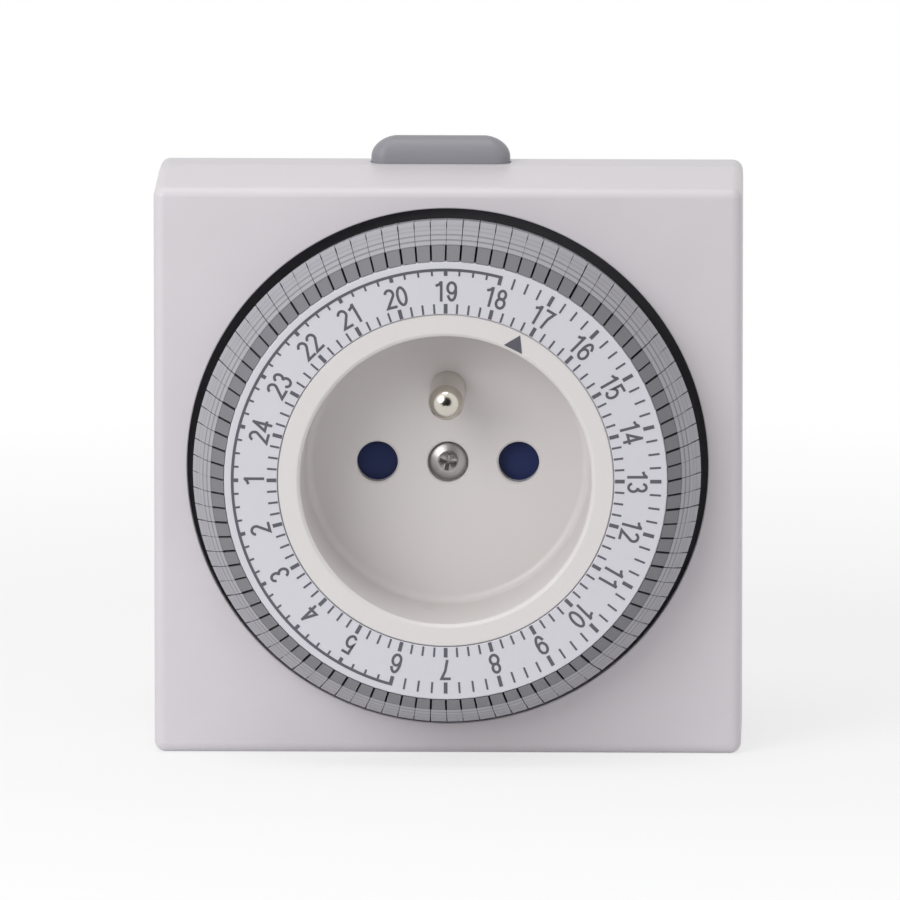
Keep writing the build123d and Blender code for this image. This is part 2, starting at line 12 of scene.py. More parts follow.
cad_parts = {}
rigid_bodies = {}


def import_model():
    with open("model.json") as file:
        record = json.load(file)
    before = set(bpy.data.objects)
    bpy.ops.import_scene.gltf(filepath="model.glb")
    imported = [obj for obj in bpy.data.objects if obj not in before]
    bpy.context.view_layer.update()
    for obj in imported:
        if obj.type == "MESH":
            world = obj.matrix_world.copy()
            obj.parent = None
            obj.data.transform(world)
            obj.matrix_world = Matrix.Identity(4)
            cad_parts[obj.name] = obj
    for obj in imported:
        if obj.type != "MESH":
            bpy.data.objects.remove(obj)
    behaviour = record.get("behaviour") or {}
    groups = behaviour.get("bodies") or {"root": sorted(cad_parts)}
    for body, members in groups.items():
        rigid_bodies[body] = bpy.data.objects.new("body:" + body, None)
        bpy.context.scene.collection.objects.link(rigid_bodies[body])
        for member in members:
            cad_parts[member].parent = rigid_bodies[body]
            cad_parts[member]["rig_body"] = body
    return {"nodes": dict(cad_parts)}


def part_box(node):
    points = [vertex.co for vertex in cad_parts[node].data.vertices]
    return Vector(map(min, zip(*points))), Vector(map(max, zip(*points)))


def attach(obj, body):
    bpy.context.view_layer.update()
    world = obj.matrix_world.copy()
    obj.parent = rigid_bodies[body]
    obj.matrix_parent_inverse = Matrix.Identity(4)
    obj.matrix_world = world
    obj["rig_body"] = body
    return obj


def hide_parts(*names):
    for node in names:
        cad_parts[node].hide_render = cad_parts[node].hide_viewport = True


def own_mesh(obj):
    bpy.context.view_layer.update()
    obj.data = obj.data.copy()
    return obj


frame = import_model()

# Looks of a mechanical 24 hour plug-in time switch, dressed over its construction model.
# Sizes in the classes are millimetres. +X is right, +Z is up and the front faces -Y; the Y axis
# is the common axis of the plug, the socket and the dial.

MM = 0.001
TINY = 1e-9

log = logging.getLogger("timer")

Point2 = tuple[float, float]
Corner = tuple[float, float, float]
Colour = tuple[int, int, int]

SCREWS: Point2 = (34.2, 32.2)  # how far the case's four screws stand from the middle, in x and z


# ---- Outlines ---------------------------------------------------------------------------------
def linear(colour: Colour) -> tuple[float, float, float, float]:
    """A display colour of 0 to 255 as the linear colour that a shader socket takes.

    Args:
        colour: Red, green and blue as a screen shows them.

    Returns:
        Linear red, green, blue and an alpha of 1.
    """
    parts = [c / 255 for c in colour]
    straight = [c / 12.92 if c <= 0.04045 else ((c + 0.055) / 1.055) ** 2.4 for c in parts]
    return (*straight, 1.0)


def polar(radius: float, degrees_from_x: float) -> Point2:
    """A place (x, z) in the front view at this radius and angle from +X towards +Z."""
    return radius * cos(radians(degrees_from_x)), radius * sin(radians(degrees_from_x))


def rounded(corners: Sequence[Corner], steps: int = 5, closed: bool = True) -> list[Point2]:
    """An outline through corners, each rounded by an arc of its own radius.

    Args:
        corners: (u, v, radius) of each corner; a radius of 0 keeps it sharp.
        steps: How many chords an arc has.
        closed: Whether the last corner joins the first; if not, both ends stay sharp.

    Returns:
        The outline's points in the same order.
    """
    points: list[Point2] = []
    count = len(corners)
    for k, (u, v, radius) in enumerate(corners):
        at = Vector((u, v))
        if radius <= 0 or (not closed and k in (0, count - 1)):
            points.append((u, v))
            continue
        back = (Vector(corners[k - 1][:2]) - at).normalized()
        ahead = (Vector(corners[(k + 1) % count][:2]) - at).normalized()
        half = acos(max(-1.0, min(1.0, back.dot(ahead)))) / 2
        middle = at + (back + ahead).normalized() * (radius / sin(half))
        first = at + back * (radius / tan(half)) - middle
        last = at + ahead * (radius / tan(half)) - middle
        start = atan2(first.y, first.x)
        swing = (atan2(last.y, last.x) - start + pi) % (2 * pi) - pi
        for n in range(steps + 1):
            angle = start + swing * n / steps
            points.append((middle.x + radius * cos(angle), middle.y + radius * sin(angle)))
    return points


def rectangle(low: Point2, high: Point2, radius: float, steps: int = 6) -> list[Point2]:
    """A rectangle with rounded corners, from its lowest and highest corner."""
    corners = [(low[0], low[1]), (high[0], low[1]), (high[0], high[1]), (low[0], high[1])]
    return rounded([(u, v, radius) for u, v in corners], steps)


# ---- Meshes -----------------------------------------------------------------------------------
class Shape:
    """A mesh under construction, in millimetres."""

    def __init__(self) -> None:
        """Starts with nothing in it."""
        self.work = bmesh.new()

    def loops(self, rows: Sequence[Sequence[Vector]], closed_rows: bool, closed_across: bool) -> "Shape":
        """Skins rows of points with faces.

        Args:
            rows: Rows of equally many points; a row of one point is a pole.
            closed_rows: Whether each row is a ring.
            closed_across: Whether the last row joins the first.

        Returns:
            This shape.
        """
        made = [[self.work.verts.new(p) for p in row] for row in rows]
        pairs = list(zip(made, made[1:])) + ([(made[-1], made[0])] if closed_across else [])
        for one, other in pairs:
            count = max(len(one), len(other))
            for n in range(count if closed_rows else count - 1):
                m = (n + 1) % count
                ring = [one[n % len(one)], one[m % len(one)], other[m % len(other)], other[n % len(other)]]
                corners = list(dict.fromkeys(ring))
                if len(corners) > 2:
                    self.work.faces.new(corners)
        return self

    def turned(self, profile: Sequence[Point2], steps: int = 128, closed: bool = True) -> "Shape":
        """Turns a profile about the Y axis.

        Args:
            profile: (radius, y) points; a radius of 0 gives a pole.
            steps: Facets round the axis.
            closed: Whether the profile is a closed outline.

        Returns:
            This shape.
        """
        rows = []
        for radius, y in profile:
            if radius < TINY:
                rows.append([Vector((0, y, 0))])
            else:
                turns = [2 * pi * n / steps for n in range(steps)]
                rows.append([Vector((radius * cos(a), y, radius * sin(a))) for a in turns])
        return self.loops(rows, True, closed)

    def slab(self, outline: Sequence[Point2], back: float, front: float) -> "Shape":
        """A front-view outline (x, z), solid from y = back to y = front."""
        rows = [[Vector((x, y, z)) for x, z in outline] for y in (back, front)]
        return self.loops(rows, True, False).capped()

    def capped(self) -> "Shape":
        """Closes what is open with flat faces."""
        edges = [e for e in self.work.edges if e.is_boundary]
        bmesh.ops.holes_fill(self.work, edges=edges, sides=0)
        return self

    def placed(self, matrix: Matrix) -> "Shape":
        """Moves all that is in it so far."""
        bmesh.ops.transform(self.work, matrix=matrix, verts=self.work.verts)
        return self

    def mesh(self, name: str) -> bpy.types.Mesh:
        """The finished mesh in metres, with its faces pointing out.

        Args:
            name: The mesh's name.

        Returns:
            The mesh.
        """
        bmesh.ops.remove_doubles(self.work, verts=self.work.verts, dist=TINY)
        bmesh.ops.recalc_face_normals(self.work, faces=self.work.faces)
        bmesh.ops.scale(self.work, vec=(MM, MM, MM), verts=self.work.verts)
        mesh = bpy.data.meshes.new(name)
        self.work.to_mesh(mesh)
        self.work.free()
        return mesh


def as_object(name: str, data: bpy.types.ID) -> bpy.types.Object:
    """A new object in the scene with this mesh, lamp or camera."""
    made = bpy.data.objects.new(name, data)
    bpy.context.scene.collection.objects.link(made)
    return made


def baked(piece: bpy.types.Object) -> bpy.types.Object:
    """Turns a piece with its modifiers into a plain mesh.

    Args:
        piece: The object whose modifiers are applied and removed.

    Returns:
        The same object.
    """
    bpy.context.view_layer.update()
    graph = bpy.context.evaluated_depsgraph_get()
    result = bpy.data.meshes.new_from_object(piece.evaluated_get(graph), depsgraph=graph)
    piece.modifiers.clear()
    piece.data = result
    return piece


def carved(piece: bpy.types.Object, cutters: Iterable[Shape]) -> bpy.types.Object:
    """Cuts shapes out of a piece.

    Args:
        piece: What is cut.
        cutters: The closed shapes to take away.

    Returns:
        The piece as a plain mesh.
    """
    tools = []
    for shape in cutters:
        tool = as_object("tool", shape.mesh("tool"))
        cut = piece.modifiers.new("cut", "BOOLEAN")
        cut.operation, cut.solver, cut.object = "DIFFERENCE", "EXACT", tool
        tools.append(tool)
    baked(piece)
    for tool in tools:
        bpy.data.objects.remove(tool)
    return piece


def softened(
    piece: bpy.types.Object, width: float = 0.0, steps: int = 2, angle: float = 32
) -> bpy.types.Object:
    """Rounds a piece's sharp edges a little and shades it smooth, with its flat faces kept flat.

    Args:
        piece: The piece to finish.
        width: The rounding's width in millimetres; 0 leaves the edges sharp.
        steps: The rounding's segments.
        angle: Edges that turn by more than this, in degrees, are sharp.

    Returns:
        The piece as a plain mesh.
    """
    if width:
        bevel = piece.modifiers.new("soft edges", "BEVEL")
        bevel.width, bevel.segments, bevel.limit_method = width * MM, steps, "ANGLE"
        bevel.angle_limit, bevel.use_clamp_overlap, bevel.harden_normals = radians(angle), False, False
        baked(piece)
    piece.data.shade_smooth()
    piece.data.set_sharp_from_angle(angle=radians(angle))
    even = piece.modifiers.new("flat faces", "WEIGHTED_NORMAL")
    even.keep_sharp = True
    return baked(piece)


# ---- Node trees and sums ----------------------------------------------------------------------
class Value:
    """A number that changes from place to place: a node's socket on which sums can be written."""

    def __init__(self, nodes: "Nodes", socket: bpy.types.NodeSocket) -> None:
        """Wraps a socket of a tree."""
        self.nodes, self.socket = nodes, socket

    def _sum(self, operation: str, left: "Value | float", right: "Value | float") -> "Value":
        """Adds the Math node of one operation."""
        made = self.nodes.node("ShaderNodeMath", {"operation": operation}, {0: left, 1: right})
        return Value(self.nodes, made.outputs[0])

    def __add__(self, other: "Value | float") -> "Value":
        """self + other."""
        return self._sum("ADD", self, other)

    def __radd__(self, other: float) -> "Value":
        """other + self."""
        return self._sum("ADD", other, self)

    def __sub__(self, other: "Value | float") -> "Value":
        """self - other."""
        return self._sum("SUBTRACT", self, other)

    def __rsub__(self, other: float) -> "Value":
        """other - self."""
        return self._sum("SUBTRACT", other, self)

    def __mul__(self, other: "Value | float") -> "Value":
        """self * other."""
        return self._sum("MULTIPLY", self, other)

    def __rmul__(self, other: float) -> "Value":
        """other * self."""
        return self._sum("MULTIPLY", other, self)

    def size(self) -> "Value":
        """This value without its sign."""
        return self._sum("ABSOLUTE", self, 0.0)

    def between(self, low: float, high: float) -> "Value":
        """This value, kept between two limits."""
        raised = self._sum("MAXIMUM", self, low)
        return self._sum("MINIMUM", raised, high)


class Nodes:
    """A node tree of a material, the sky or a geometry group, with one method that makes every node."""

    def __init__(self, tree: bpy.types.NodeTree) -> None:
        """Starts with an empty tree."""
        self.tree = tree
        self.tree.nodes.clear()

    def node(self, kind: str, settings: dict | None = None, inputs: dict | None = None) -> bpy.types.Node:
        """Makes one node.

        Args:
            kind: The node's type.
            settings: Attributes to set first, such as an operation; "stops" gives a ramp's
                (position, colour) stops.
            inputs: Socket name or number to a value or to what is linked there.

        Returns:
            The node.
        """
        made = self.tree.nodes.new(kind)
        for key, value in (settings or {}).items():
            if key == "stops":
                ramp = made.color_ramp.elements
                while len(ramp) < len(value):
                    ramp.new(0.5)
                for stop, (position, colour) in zip(ramp, value):
                    stop.position, stop.color = position, colour
            else:
                setattr(made, key, value)
        for key, value in (inputs or {}).items():
            source = value.socket if isinstance(value, Value) else value
            if isinstance(source, bpy.types.NodeSocket):
                self.tree.links.new(source, made.inputs[key])
            else:
                made.inputs[key].default_value = source
        return made

    def value(self, kind: str, output: str | int, settings: dict | None = None,
              inputs: dict | None = None) -> Value:
        """Makes one node and wraps one of its outputs."""
        return Value(self, self.node(kind, settings, inputs).outputs[output])


class Shader(Nodes):
    """A material's node tree."""

    def __init__(self, name: str) -> None:
        """Starts an empty material of this name."""
        self.material = bpy.data.materials.new(name)
        self.material.use_nodes = True
        super().__init__(self.material.node_tree)

    def place(self) -> bpy.types.NodeSocket:
        """Where a surface point is on the object, in millimetres."""
        where = self.node("ShaderNodeTexCoord").outputs["Object"]
        scaled = self.node("ShaderNodeVectorMath", {"operation": "SCALE"}, {0: where, "Scale": 1 / MM})
        return scaled.outputs[0]

    def noise(self, place: bpy.types.NodeSocket, grain: float, detail: float = 2.0) -> Value:
        """Smooth random mottling around 0.5, whose blotches are about grain millimetres wide."""
        return self.value(
            "ShaderNodeTexNoise", "Fac", {}, {"Vector": place, "Scale": 1 / grain, "Detail": detail})

    def reach(self, place: bpy.types.NodeSocket, counted: Corner) -> Value:
        """How far a place is from the origin, with each axis counted by its own factor."""
        level = self.node("ShaderNodeVectorMath", {"operation": "MULTIPLY"}, {0: place, 1: counted})
        return self.value("ShaderNodeVectorMath", "Value", {"operation": "LENGTH"}, {0: level.outputs[0]})

    def tinted(self, factor: Value, one: Colour, other: Colour) -> bpy.types.NodeSocket:
        """A colour that goes from one to the other with the factor."""
        made = self.node(
            "ShaderNodeMix", {"data_type": "RGBA"}, {0: factor, 6: linear(one), 7: linear(other)})
        return made.outputs[2]

    def bump(
        self, height: Value, depth: float, under: bpy.types.NodeSocket | None = None
    ) -> bpy.types.NodeSocket:
        """A normal that follows a height of 0 to 1, depth millimetres tall."""
        inputs: dict = {"Height": height, "Distance": depth * MM, "Strength": 1.0}
        if under is not None:
            inputs["Normal"] = under
        return self.node("ShaderNodeBump", {}, inputs).outputs[0]

    def finished(self, surface: dict) -> bpy.types.Material:
        """Ends the tree with one Principled shader.

        Args:
            surface: The shader's socket names and their values or links.

        Returns:
            The material.
        """
        shader = self.node("ShaderNodeBsdfPrincipled", {}, surface)
        self.node("ShaderNodeOutputMaterial", {}, {"Surface": shader.outputs[0]})
        return self.material


# ---- Finishes ---------------------------------------------------------------------------------
class Grain(Enum):
    """Surface of the mould that a plastic piece was made in: grain width, depth, roughness."""

    SPARKED = (0.22, 0.006, 0.50)
    SATIN = (0.15, 0.003, 0.42)
    SMOOTH = (0.60, 0.0004, 0.34)


@dataclass(frozen=True)
class Plastic:
    """A moulded plastic: its colour, the mould's grain and how far the colour drifts."""

    slot: str
    colour: Colour
    grain: Grain
    drift: int = 3

    def build(self) -> bpy.types.Material:
        """The material: mottled colour, uneven gloss, mould grain and a faint sink waviness."""
        shader = Shader(self.slot)
        place = shader.place()
        width, depth, roughness = self.grain.value
        blotch = shader.noise(place, 9.0, 3.0)
        fine = shader.noise(place, width, 4.0)
        darker = tuple(max(c - self.drift, 0) for c in self.colour)
        lighter = tuple(min(c + self.drift, 255) for c in self.colour)
        waviness = shader.bump(shader.noise(place, 14.0, 1.0), 0.03)
        return shader.finished({
            "Base Color": shader.tinted((blotch * 0.85 + fine * 0.15).between(0, 1), darker, lighter),
            "Roughness": (roughness - 0.05 + blotch * 0.07 + fine * 0.03).between(0.05, 1),
            "Normal": shader.bump(fine, depth, waviness),
            "IOR": 1.49,
        })


@dataclass(frozen=True)
class Metal:
    """A metal surface: its colour, roughness, and how strongly it shows drawn or turned lines."""

    slot: str
    colour: Colour
    roughness: float
    lines: float = 0.3
    drift: int = 8

    def build(self) -> bpy.types.Material:
        """The material: fine lines round the Y axis, faint staining and uneven polish."""
        shader = Shader(self.slot)
        place = shader.place()
        stretched = shader.node(
            "ShaderNodeMapping", {}, {"Vector": place, "Scale": (0.35, 9.0, 0.35)}).outputs[0]
        drawn = shader.noise(stretched, 1.0, 3.0)
        stain = shader.noise(place, 2.5, 3.0)
        darker = tuple(max(c - self.drift, 0) for c in self.colour)
        lighter = tuple(min(c + self.drift, 255) for c in self.colour)
        return shader.finished({
            "Base Color": shader.tinted((stain * 0.6 + drawn * 0.4).between(0, 1), darker, lighter),
            "Metallic": 1.0,
            "Roughness": (self.roughness - 0.05 + drawn * 0.06 + stain * 0.05).between(0.03, 1),
            "Normal": shader.bump(drawn, 0.004 * self.lines),
        })


@dataclass(frozen=True)
class Winding:
    """Enamelled wire on a bobbin, turn beside turn."""

    slot: str
    colour: Colour
    wire: float = 0.12

    def build(self) -> bpy.types.Material:
        """The material: waves along the bobbin's axis, one to a turn of wire, darker in the crevices
        between turns as painted shade.
        """
        shader = Shader(self.slot)
        place = shader.place()
        turns = shader.value(
            "ShaderNodeTexWave", "Fac", {"bands_direction": "Y", "wave_profile": "SIN"},
            {"Vector": place, "Scale": 0.31 / self.wire, "Distortion": 0.3})
        # painted shade: the crevices between turns, where the bump sinks, are coloured darker
        darker = tuple(int(c * 0.45) for c in self.colour)
        return shader.finished({
            "Base Color": shader.tinted(turns, darker, self.colour),
            "Metallic": 0.6,
            "Roughness": 0.38 - turns * 0.1,
            "Normal": shader.bump(turns, self.wire / 3),
        })


@dataclass(frozen=True)
class TabPlastic:
    """The tabs' plastic: a darker front band, a paler outside and fine rings of painted shade where the
    face creases, each (radius, shade).
    """

    slot: str
    front: Colour
    outside: Colour
    border_r: float
    rings: tuple[Point2, ...]
    ring_width: float = 0.09

    def build(self) -> bpy.types.Material:
        """The material: two tones, the rings of painted shade by distance from the Y axis, and a satin
        grain.
        """
        shader = Shader(self.slot)
        place = shader.place()
        radius = shader.reach(place, (1, 0, 1))
        fine = shader.noise(place, 0.15, 4.0)
        tone = ((radius - self.border_r) * 8.0 + 0.5).between(0, 1)
        shade = 1.0 - (fine - 0.5).between(-0.5, 0.5) * 0.12
        # thin darker rings: painted shade standing in for the shade in fine creases across the tab's face
        for ring, left in self.rings:
            away = (radius - ring).size()
            shade = shade * ((away - self.ring_width / 2) * 20.0).between(left, 1)
        colour = shader.node("ShaderNodeMix", {"data_type": "RGBA", "blend_type": "MULTIPLY"}, {
            0: 1.0, 6: shader.tinted(tone, self.front, self.outside), 7: shade})
        return shader.finished({
            "Base Color": colour.outputs[2],
            "Roughness": 0.34 + fine * 0.08,
            "Normal": shader.bump(fine, 0.002),
            "IOR": 1.49,
        })


class Finish(Enum):
    """Every finish of the object."""

    HOUSING = Plastic("housing", (214, 209, 213), Grain.SATIN)
    # the housing plastic again, a little darker as painted shade for the rear half, whose top slopes back
    # away from the light
    BACK = Plastic("housing", (208, 204, 208), Grain.SATIN)
    INSERT = Plastic("insert", (221, 217, 216), Grain.SMOOTH, 1)
    DIAL = Plastic("dial_face", (211, 210, 217), Grain.SMOOTH, 1)
    # the last tuple gives the rings of painted shade in the creases across the tabs' faces
    TAB = TabPlastic(
        "tab", (118, 117, 123), (166, 165, 171), 31.45,
        ((31.5, 0.5), (32.05, 0.62), (32.6, 0.68), (33.1, 0.85), (33.5, 0.88)))
    CARRIER = Plastic("carrier", (80, 79, 84), Grain.SPARKED, 4)
    BUTTON = Plastic("button", (138, 138, 144), Grain.SATIN)
    SHUTTER = Plastic("shutter", (27, 42, 92), Grain.SMOOTH, 4)
    GEAR = Plastic("gear", (226, 221, 204), Grain.SMOOTH)
    BLACK = Plastic("black_moulding", (46, 46, 49), Grain.SPARKED, 5)
    INK = Plastic("ink", (93, 92, 101), Grain.SATIN, 5)
    NICKEL = Metal("nickel", (205, 200, 190), 0.16)
    PLATED = Metal("nickel", (176, 173, 168), 0.21)
    STEEL = Metal("steel", (176, 174, 172), 0.31)
    BRASS = Metal("brass", (214, 182, 110), 0.27)
    WINDING = Winding("winding", (176, 96, 44))


class Wardrobe:
    """The built materials, one for each finish."""

    def __init__(self) -> None:
        """Builds every material once."""
        self.built = {finish: finish.value.build() for finish in Finish}

    def dress(self, piece: bpy.types.Object, finish: Finish) -> bpy.types.Object:
        """Gives a piece one finish all over.

        Args:
            piece: The piece.
            finish: What it is made of.

        Returns:
            The piece.
        """
        piece.data.materials.clear()
        piece.data.materials.append(self.built[finish])
        return piece


# ---- Repeats ----------------------------------------------------------------------------------
class Repeat(Nodes):
    """A geometry node tree that repeats its own mesh, for rings of tabs and ticks or sets of screws."""

    def __init__(self, name: str) -> None:
        """Starts a tree with a mesh going in and out."""
        super().__init__(bpy.data.node_groups.new(name, "GeometryNodeTree"))
        self.inputs: dict[str, str] = {}
        self.socket("Geometry", "NodeSocketGeometry")
        self.tree.interface.new_socket("Geometry", in_out="OUTPUT", socket_type="NodeSocketGeometry")
        self.entry = self.node("NodeGroupInput")

    def socket(self, name: str, kind: str) -> None:
        """Adds a named input."""
        made = self.tree.interface.new_socket(name, in_out="INPUT", socket_type=kind)
        self.inputs[name] = made.identifier

    def ending(self, points: bpy.types.NodeSocket, rotation: bpy.types.NodeSocket | tuple) -> "Repeat":
        """Puts the mesh on the points, makes it real and gives it its material.

        Args:
            points: The points' geometry.
            rotation: How each copy is turned.

        Returns:
            This tree.
        """
        copies = self.node("GeometryNodeInstanceOnPoints", {}, {
            "Points": points, "Instance": self.entry.outputs["Geometry"], "Rotation": rotation})
        real = self.node("GeometryNodeRealizeInstances", {}, {"Geometry": copies.outputs[0]})
        dressed = self.node("GeometryNodeSetMaterial", {}, {
            "Geometry": real.outputs[0], "Material": self.entry.outputs["Material"]})
        self.node("NodeGroupOutput", {}, {"Geometry": dressed.outputs[0]})
        return self

    @classmethod
    def ring(cls) -> "Repeat":
        """Copies turned about the Y axis in equal steps, each off by chance within its play."""
        tree = cls("ring of copies")
        for name, kind in (
            ("Count", "NodeSocketInt"), ("First", "NodeSocketFloat"), ("Step", "NodeSocketFloat"),
            ("Play", "NodeSocketFloat"), ("Seed", "NodeSocketInt"), ("Material", "NodeSocketMaterial"),
        ):
            tree.socket(name, kind)
        points = tree.node("GeometryNodePoints", {}, {"Count": tree.entry.outputs["Count"]})
        number = tree.node("GeometryNodeInputIndex").outputs[0]
        chance = tree.value(
            "FunctionNodeRandomValue", 1, {"data_type": "FLOAT"},
            {2: -1.0, 3: 1.0, "ID": number, "Seed": tree.entry.outputs["Seed"]})
        step, first, play = (Value(tree, tree.entry.outputs[name]) for name in ("Step", "First", "Play"))
        turn = Value(tree, number) * step + first + chance * play
        # a turn from +X towards +Z is negative about +Y
        rotation = tree.node("ShaderNodeCombineXYZ", {}, {"Y": (turn * -1.0).socket})
        return tree.ending(points.outputs[0], rotation.outputs[0])

    @classmethod
    def corners(cls) -> "Repeat":
        """Copies on the four corners of a rectangle that faces the front."""
        tree = cls("corner copies")
        for name, kind in (("Width", "NodeSocketFloat"), ("Height", "NodeSocketFloat"),
                           ("Material", "NodeSocketMaterial")):
            tree.socket(name, kind)
        grid = tree.node("GeometryNodeMeshGrid", {}, {
            "Size X": tree.entry.outputs["Width"], "Size Y": tree.entry.outputs["Height"],
            "Vertices X": 2, "Vertices Y": 2})
        upright = tree.node("GeometryNodeTransform", {}, {
            "Geometry": grid.outputs["Mesh"], "Rotation": (pi / 2, 0.0, 0.0)})
        return tree.ending(upright.outputs[0], (0.0, 0.0, 0.0))

    def apply(
        self, piece: bpy.types.Object, material: bpy.types.Material, **values: float
    ) -> bpy.types.Object:
        """Repeats a piece's mesh by this tree and makes the result its plain mesh.

        Args:
            piece: The piece that is repeated.
            material: What the copies are made of.
            **values: The tree's other inputs by name.

        Returns:
            The piece.
        """
        modifier = piece.modifiers.new(self.tree.name, "NODES")
        modifier.node_group = self.tree
        modifier[self.inputs["Material"]] = material
        for name, value in values.items():
            modifier[self.inputs[name]] = value
        return baked(piece)


class Workshop:
    """What every sub-assembly is built with: the finishes, the repeats and the way into the scene."""

    def __init__(self) -> None:
        """Builds the materials and the node trees."""
        self.wardrobe = Wardrobe()
        self.ring, self.corners = Repeat.ring(), Repeat.corners()

    def fit(self, piece: bpy.types.Object, finish: Finish, body: str, *stands_for: str) -> bpy.types.Object:
        """Dresses a piece, lets it ride on its body and reports it.

        Args:
            piece: The finished piece.
            finish: What it is made of.
            body: The body that it moves with.
            *stands_for: The nodes that it replaces.

        Returns:
            The piece.
        """
        self.wardrobe.dress(piece, finish)
        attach(piece, body)
        if stands_for:
            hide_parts(*stands_for)
        log.info("%s on %s: %d faces", piece.name, body, len(piece.data.polygons))
        return piece

    def at_screws(self, piece: bpy.types.Object, finish: Finish) -> bpy.types.Object:
        """Repeats a piece at the case's four screws."""
        return self.corners.apply(
            piece, self.wardrobe.built[finish], Width=2 * SCREWS[0] * MM, Height=2 * SCREWS[1] * MM)

    def carry(self, node: str, finish: Finish, width: float = 0.0, angle: float = 32,
              cutters: Iterable[Shape] = ()) -> bpy.types.Object:
        """A node's own solids, merged, with softened edges and smooth shading.

        Args:
            node: The node that is copied and replaced.
            finish: What it is made of.
            width: The width of its edge rounding in millimetres.
            angle: Edges that turn by more than this are sharp.
            cutters: What is cut out of it.

        Returns:
            The piece.
        """
        source = frame["nodes"][node]
        work = bmesh.new()
        work.from_mesh(source.data)
        bmesh.ops.remove_doubles(work, verts=work.verts, dist=1e-7)
        bmesh.ops.dissolve_limit(
            work, angle_limit=radians(0.3), verts=work.verts, edges=work.edges)
        mesh = bpy.data.meshes.new(f"{node}_skin")
        work.to_mesh(mesh)
        work.free()
        piece = softened(carved(as_object(f"{node}_skin", mesh), cutters), width, 2, angle)
        return self.fit(piece, finish, source["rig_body"], node)


# ---- Socket -----------------------------------------------------------------------------------
@dataclass
class Socket:
    """The recessed socket: the round well with its rim, its earth pin, screw, shutter and pointer."""

    floor_r: float = 19.2
    mouth_r: float = 19.5
    floor_y: float = -41.5
    mouth_y: float = -56.6
    rim_r: float = 22.5
    rim_y: float = -57.1
    barrel_r: float = 21.2
    skirt_y: float = -31.0
    floor_thick: float = 2.0
    fillet_r: float = 1.3
    step_y: float = -56.05
    hole_r: float = 2.75
    hole_x: float = 9.5
    hole_flare: float = 0.25
    screw_seat_r: float = 2.75
    screw_seat_depth: float = 1.4
    screw_hole_r: float = 1.6
    pin_root_r: float = 2.2
    pin_r: float = 2.4
    pin_z: float = 10.0
    pin_length: float = 14.0
    pointer_angle: float = 63.2
    pointer_base_r: float = 19.95
    pointer_tip_r: float = 22.1
    pointer_width: float = 2.7

    def build(self, shop: Workshop) -> None:
        """Makes and fits every piece of the socket."""
        self.well(shop)
        self.earth_pin(shop)
        self.screw(shop)
        self.pointer(shop)
        shop.carry("shutter", Finish.SHUTTER)
        shop.carry("shutter_cover", Finish.INSERT)

    def well(self, shop: Workshop) -> None:
        """The moulded well: one turned wall with its floor, pierced for pins and screw."""
        back = self.floor_y + self.floor_thick
        profile = rounded([
            (0, self.floor_y, 0), (self.floor_r - 2.2, self.floor_y, 0),
            (self.floor_r, self.floor_y, self.fillet_r), (self.mouth_r, self.mouth_y, 0.35),
            (self.mouth_r + 0.45, self.rim_y + 0.05, 0.4), (self.rim_r - 0.15, self.rim_y, 0.1),
            (self.rim_r, self.rim_y + 0.25, 0.1), (self.rim_r, self.step_y, 0),
            (self.barrel_r, self.step_y, 0), (self.barrel_r, self.skirt_y, 0),
            (self.barrel_r - 1.6, self.skirt_y, 0), (self.barrel_r - 1.6, back, 0), (0, back, 0),
        ], 10)
        piece = as_object("socket_well", Shape().turned(profile, 192).mesh("socket_well"))
        cutters = [self.bore(*hole) for hole in (
            (self.hole_r, back + 1, self.hole_flare, -self.hole_x, 0),
            (self.hole_r, back + 1, self.hole_flare, self.hole_x, 0),
            (self.pin_root_r, back + 1, 0.0, 0, self.pin_z),
            (self.screw_seat_r, self.floor_y + self.screw_seat_depth, 0.2, 0, 0),
            (self.screw_hole_r, back + 1, 0.0, 0, 0),
        )]
        softened(carved(piece, cutters), angle=30)
        shop.fit(piece, Finish.INSERT, "housing", "socket_insert")

    def bore(self, radius: float, back: float, flare: float, x: float, z: float) -> Shape:
        """A cutter for a hole through the floor from the front, with a flared mouth."""
        ahead = self.floor_y - 1
        profile = [(0, back), (radius, back), (radius, self.floor_y + flare),
                   (radius + flare, self.floor_y), (radius + flare, ahead), (0, ahead)]
        return Shape().turned(list(dict.fromkeys(profile)), 64).placed(Matrix.Translation((x, 0, z)))

    def earth_pin(self, shop: Workshop) -> None:
        """The turned earth pin with its domed tip."""
        tip = self.floor_y - self.pin_length
        profile = rounded([
            (0, tip, 0), (self.pin_r, tip, self.pin_r - 0.05), (self.pin_r, self.floor_y, 0),
            (self.pin_root_r, self.floor_y, 0), (self.pin_root_r, -39.5, 0), (3.2, -39.5, 0),
            (3.2, -38.7, 0), (1.8, -38.7, 0), (1.8, -37.3, 0), (0, -37.3, 0)], 14)
        shape = Shape().turned(profile, 96).placed(Matrix.Translation((0, 0, self.pin_z)))
        piece = softened(as_object("socket_earth_pin", shape.mesh("socket_earth_pin")), angle=35)
        shop.fit(piece, Finish.NICKEL, "housing", "earth_pin")

    def screw(self, shop: Workshop) -> None:
        """The screw in the middle of the floor."""
        screw = Screw(head_r=2.55, head_y=-41.25, back_y=-40.1, shank_r=1.5, end_y=-27.0)
        shop.fit(screw.piece("socket_screw_head"), Finish.STEEL, "housing", "socket_screw")

    def pointer(self, shop: Workshop) -> None:
        """The small printed triangle on the rim that shows the time on the dial."""
        across = self.pointer_width / 2
        face = self.rim_y + 0.03
        outline = [(self.pointer_base_r, -across), (self.pointer_tip_r, 0), (self.pointer_base_r, across)]
        shape = Shape().slab(outline, face + 0.2, face - 0.05)
        shape.placed(Matrix.Rotation(-radians(self.pointer_angle), 4, "Y"))
        shop.fit(as_object("time_pointer", shape.mesh("time_pointer")), Finish.INK, "housing")


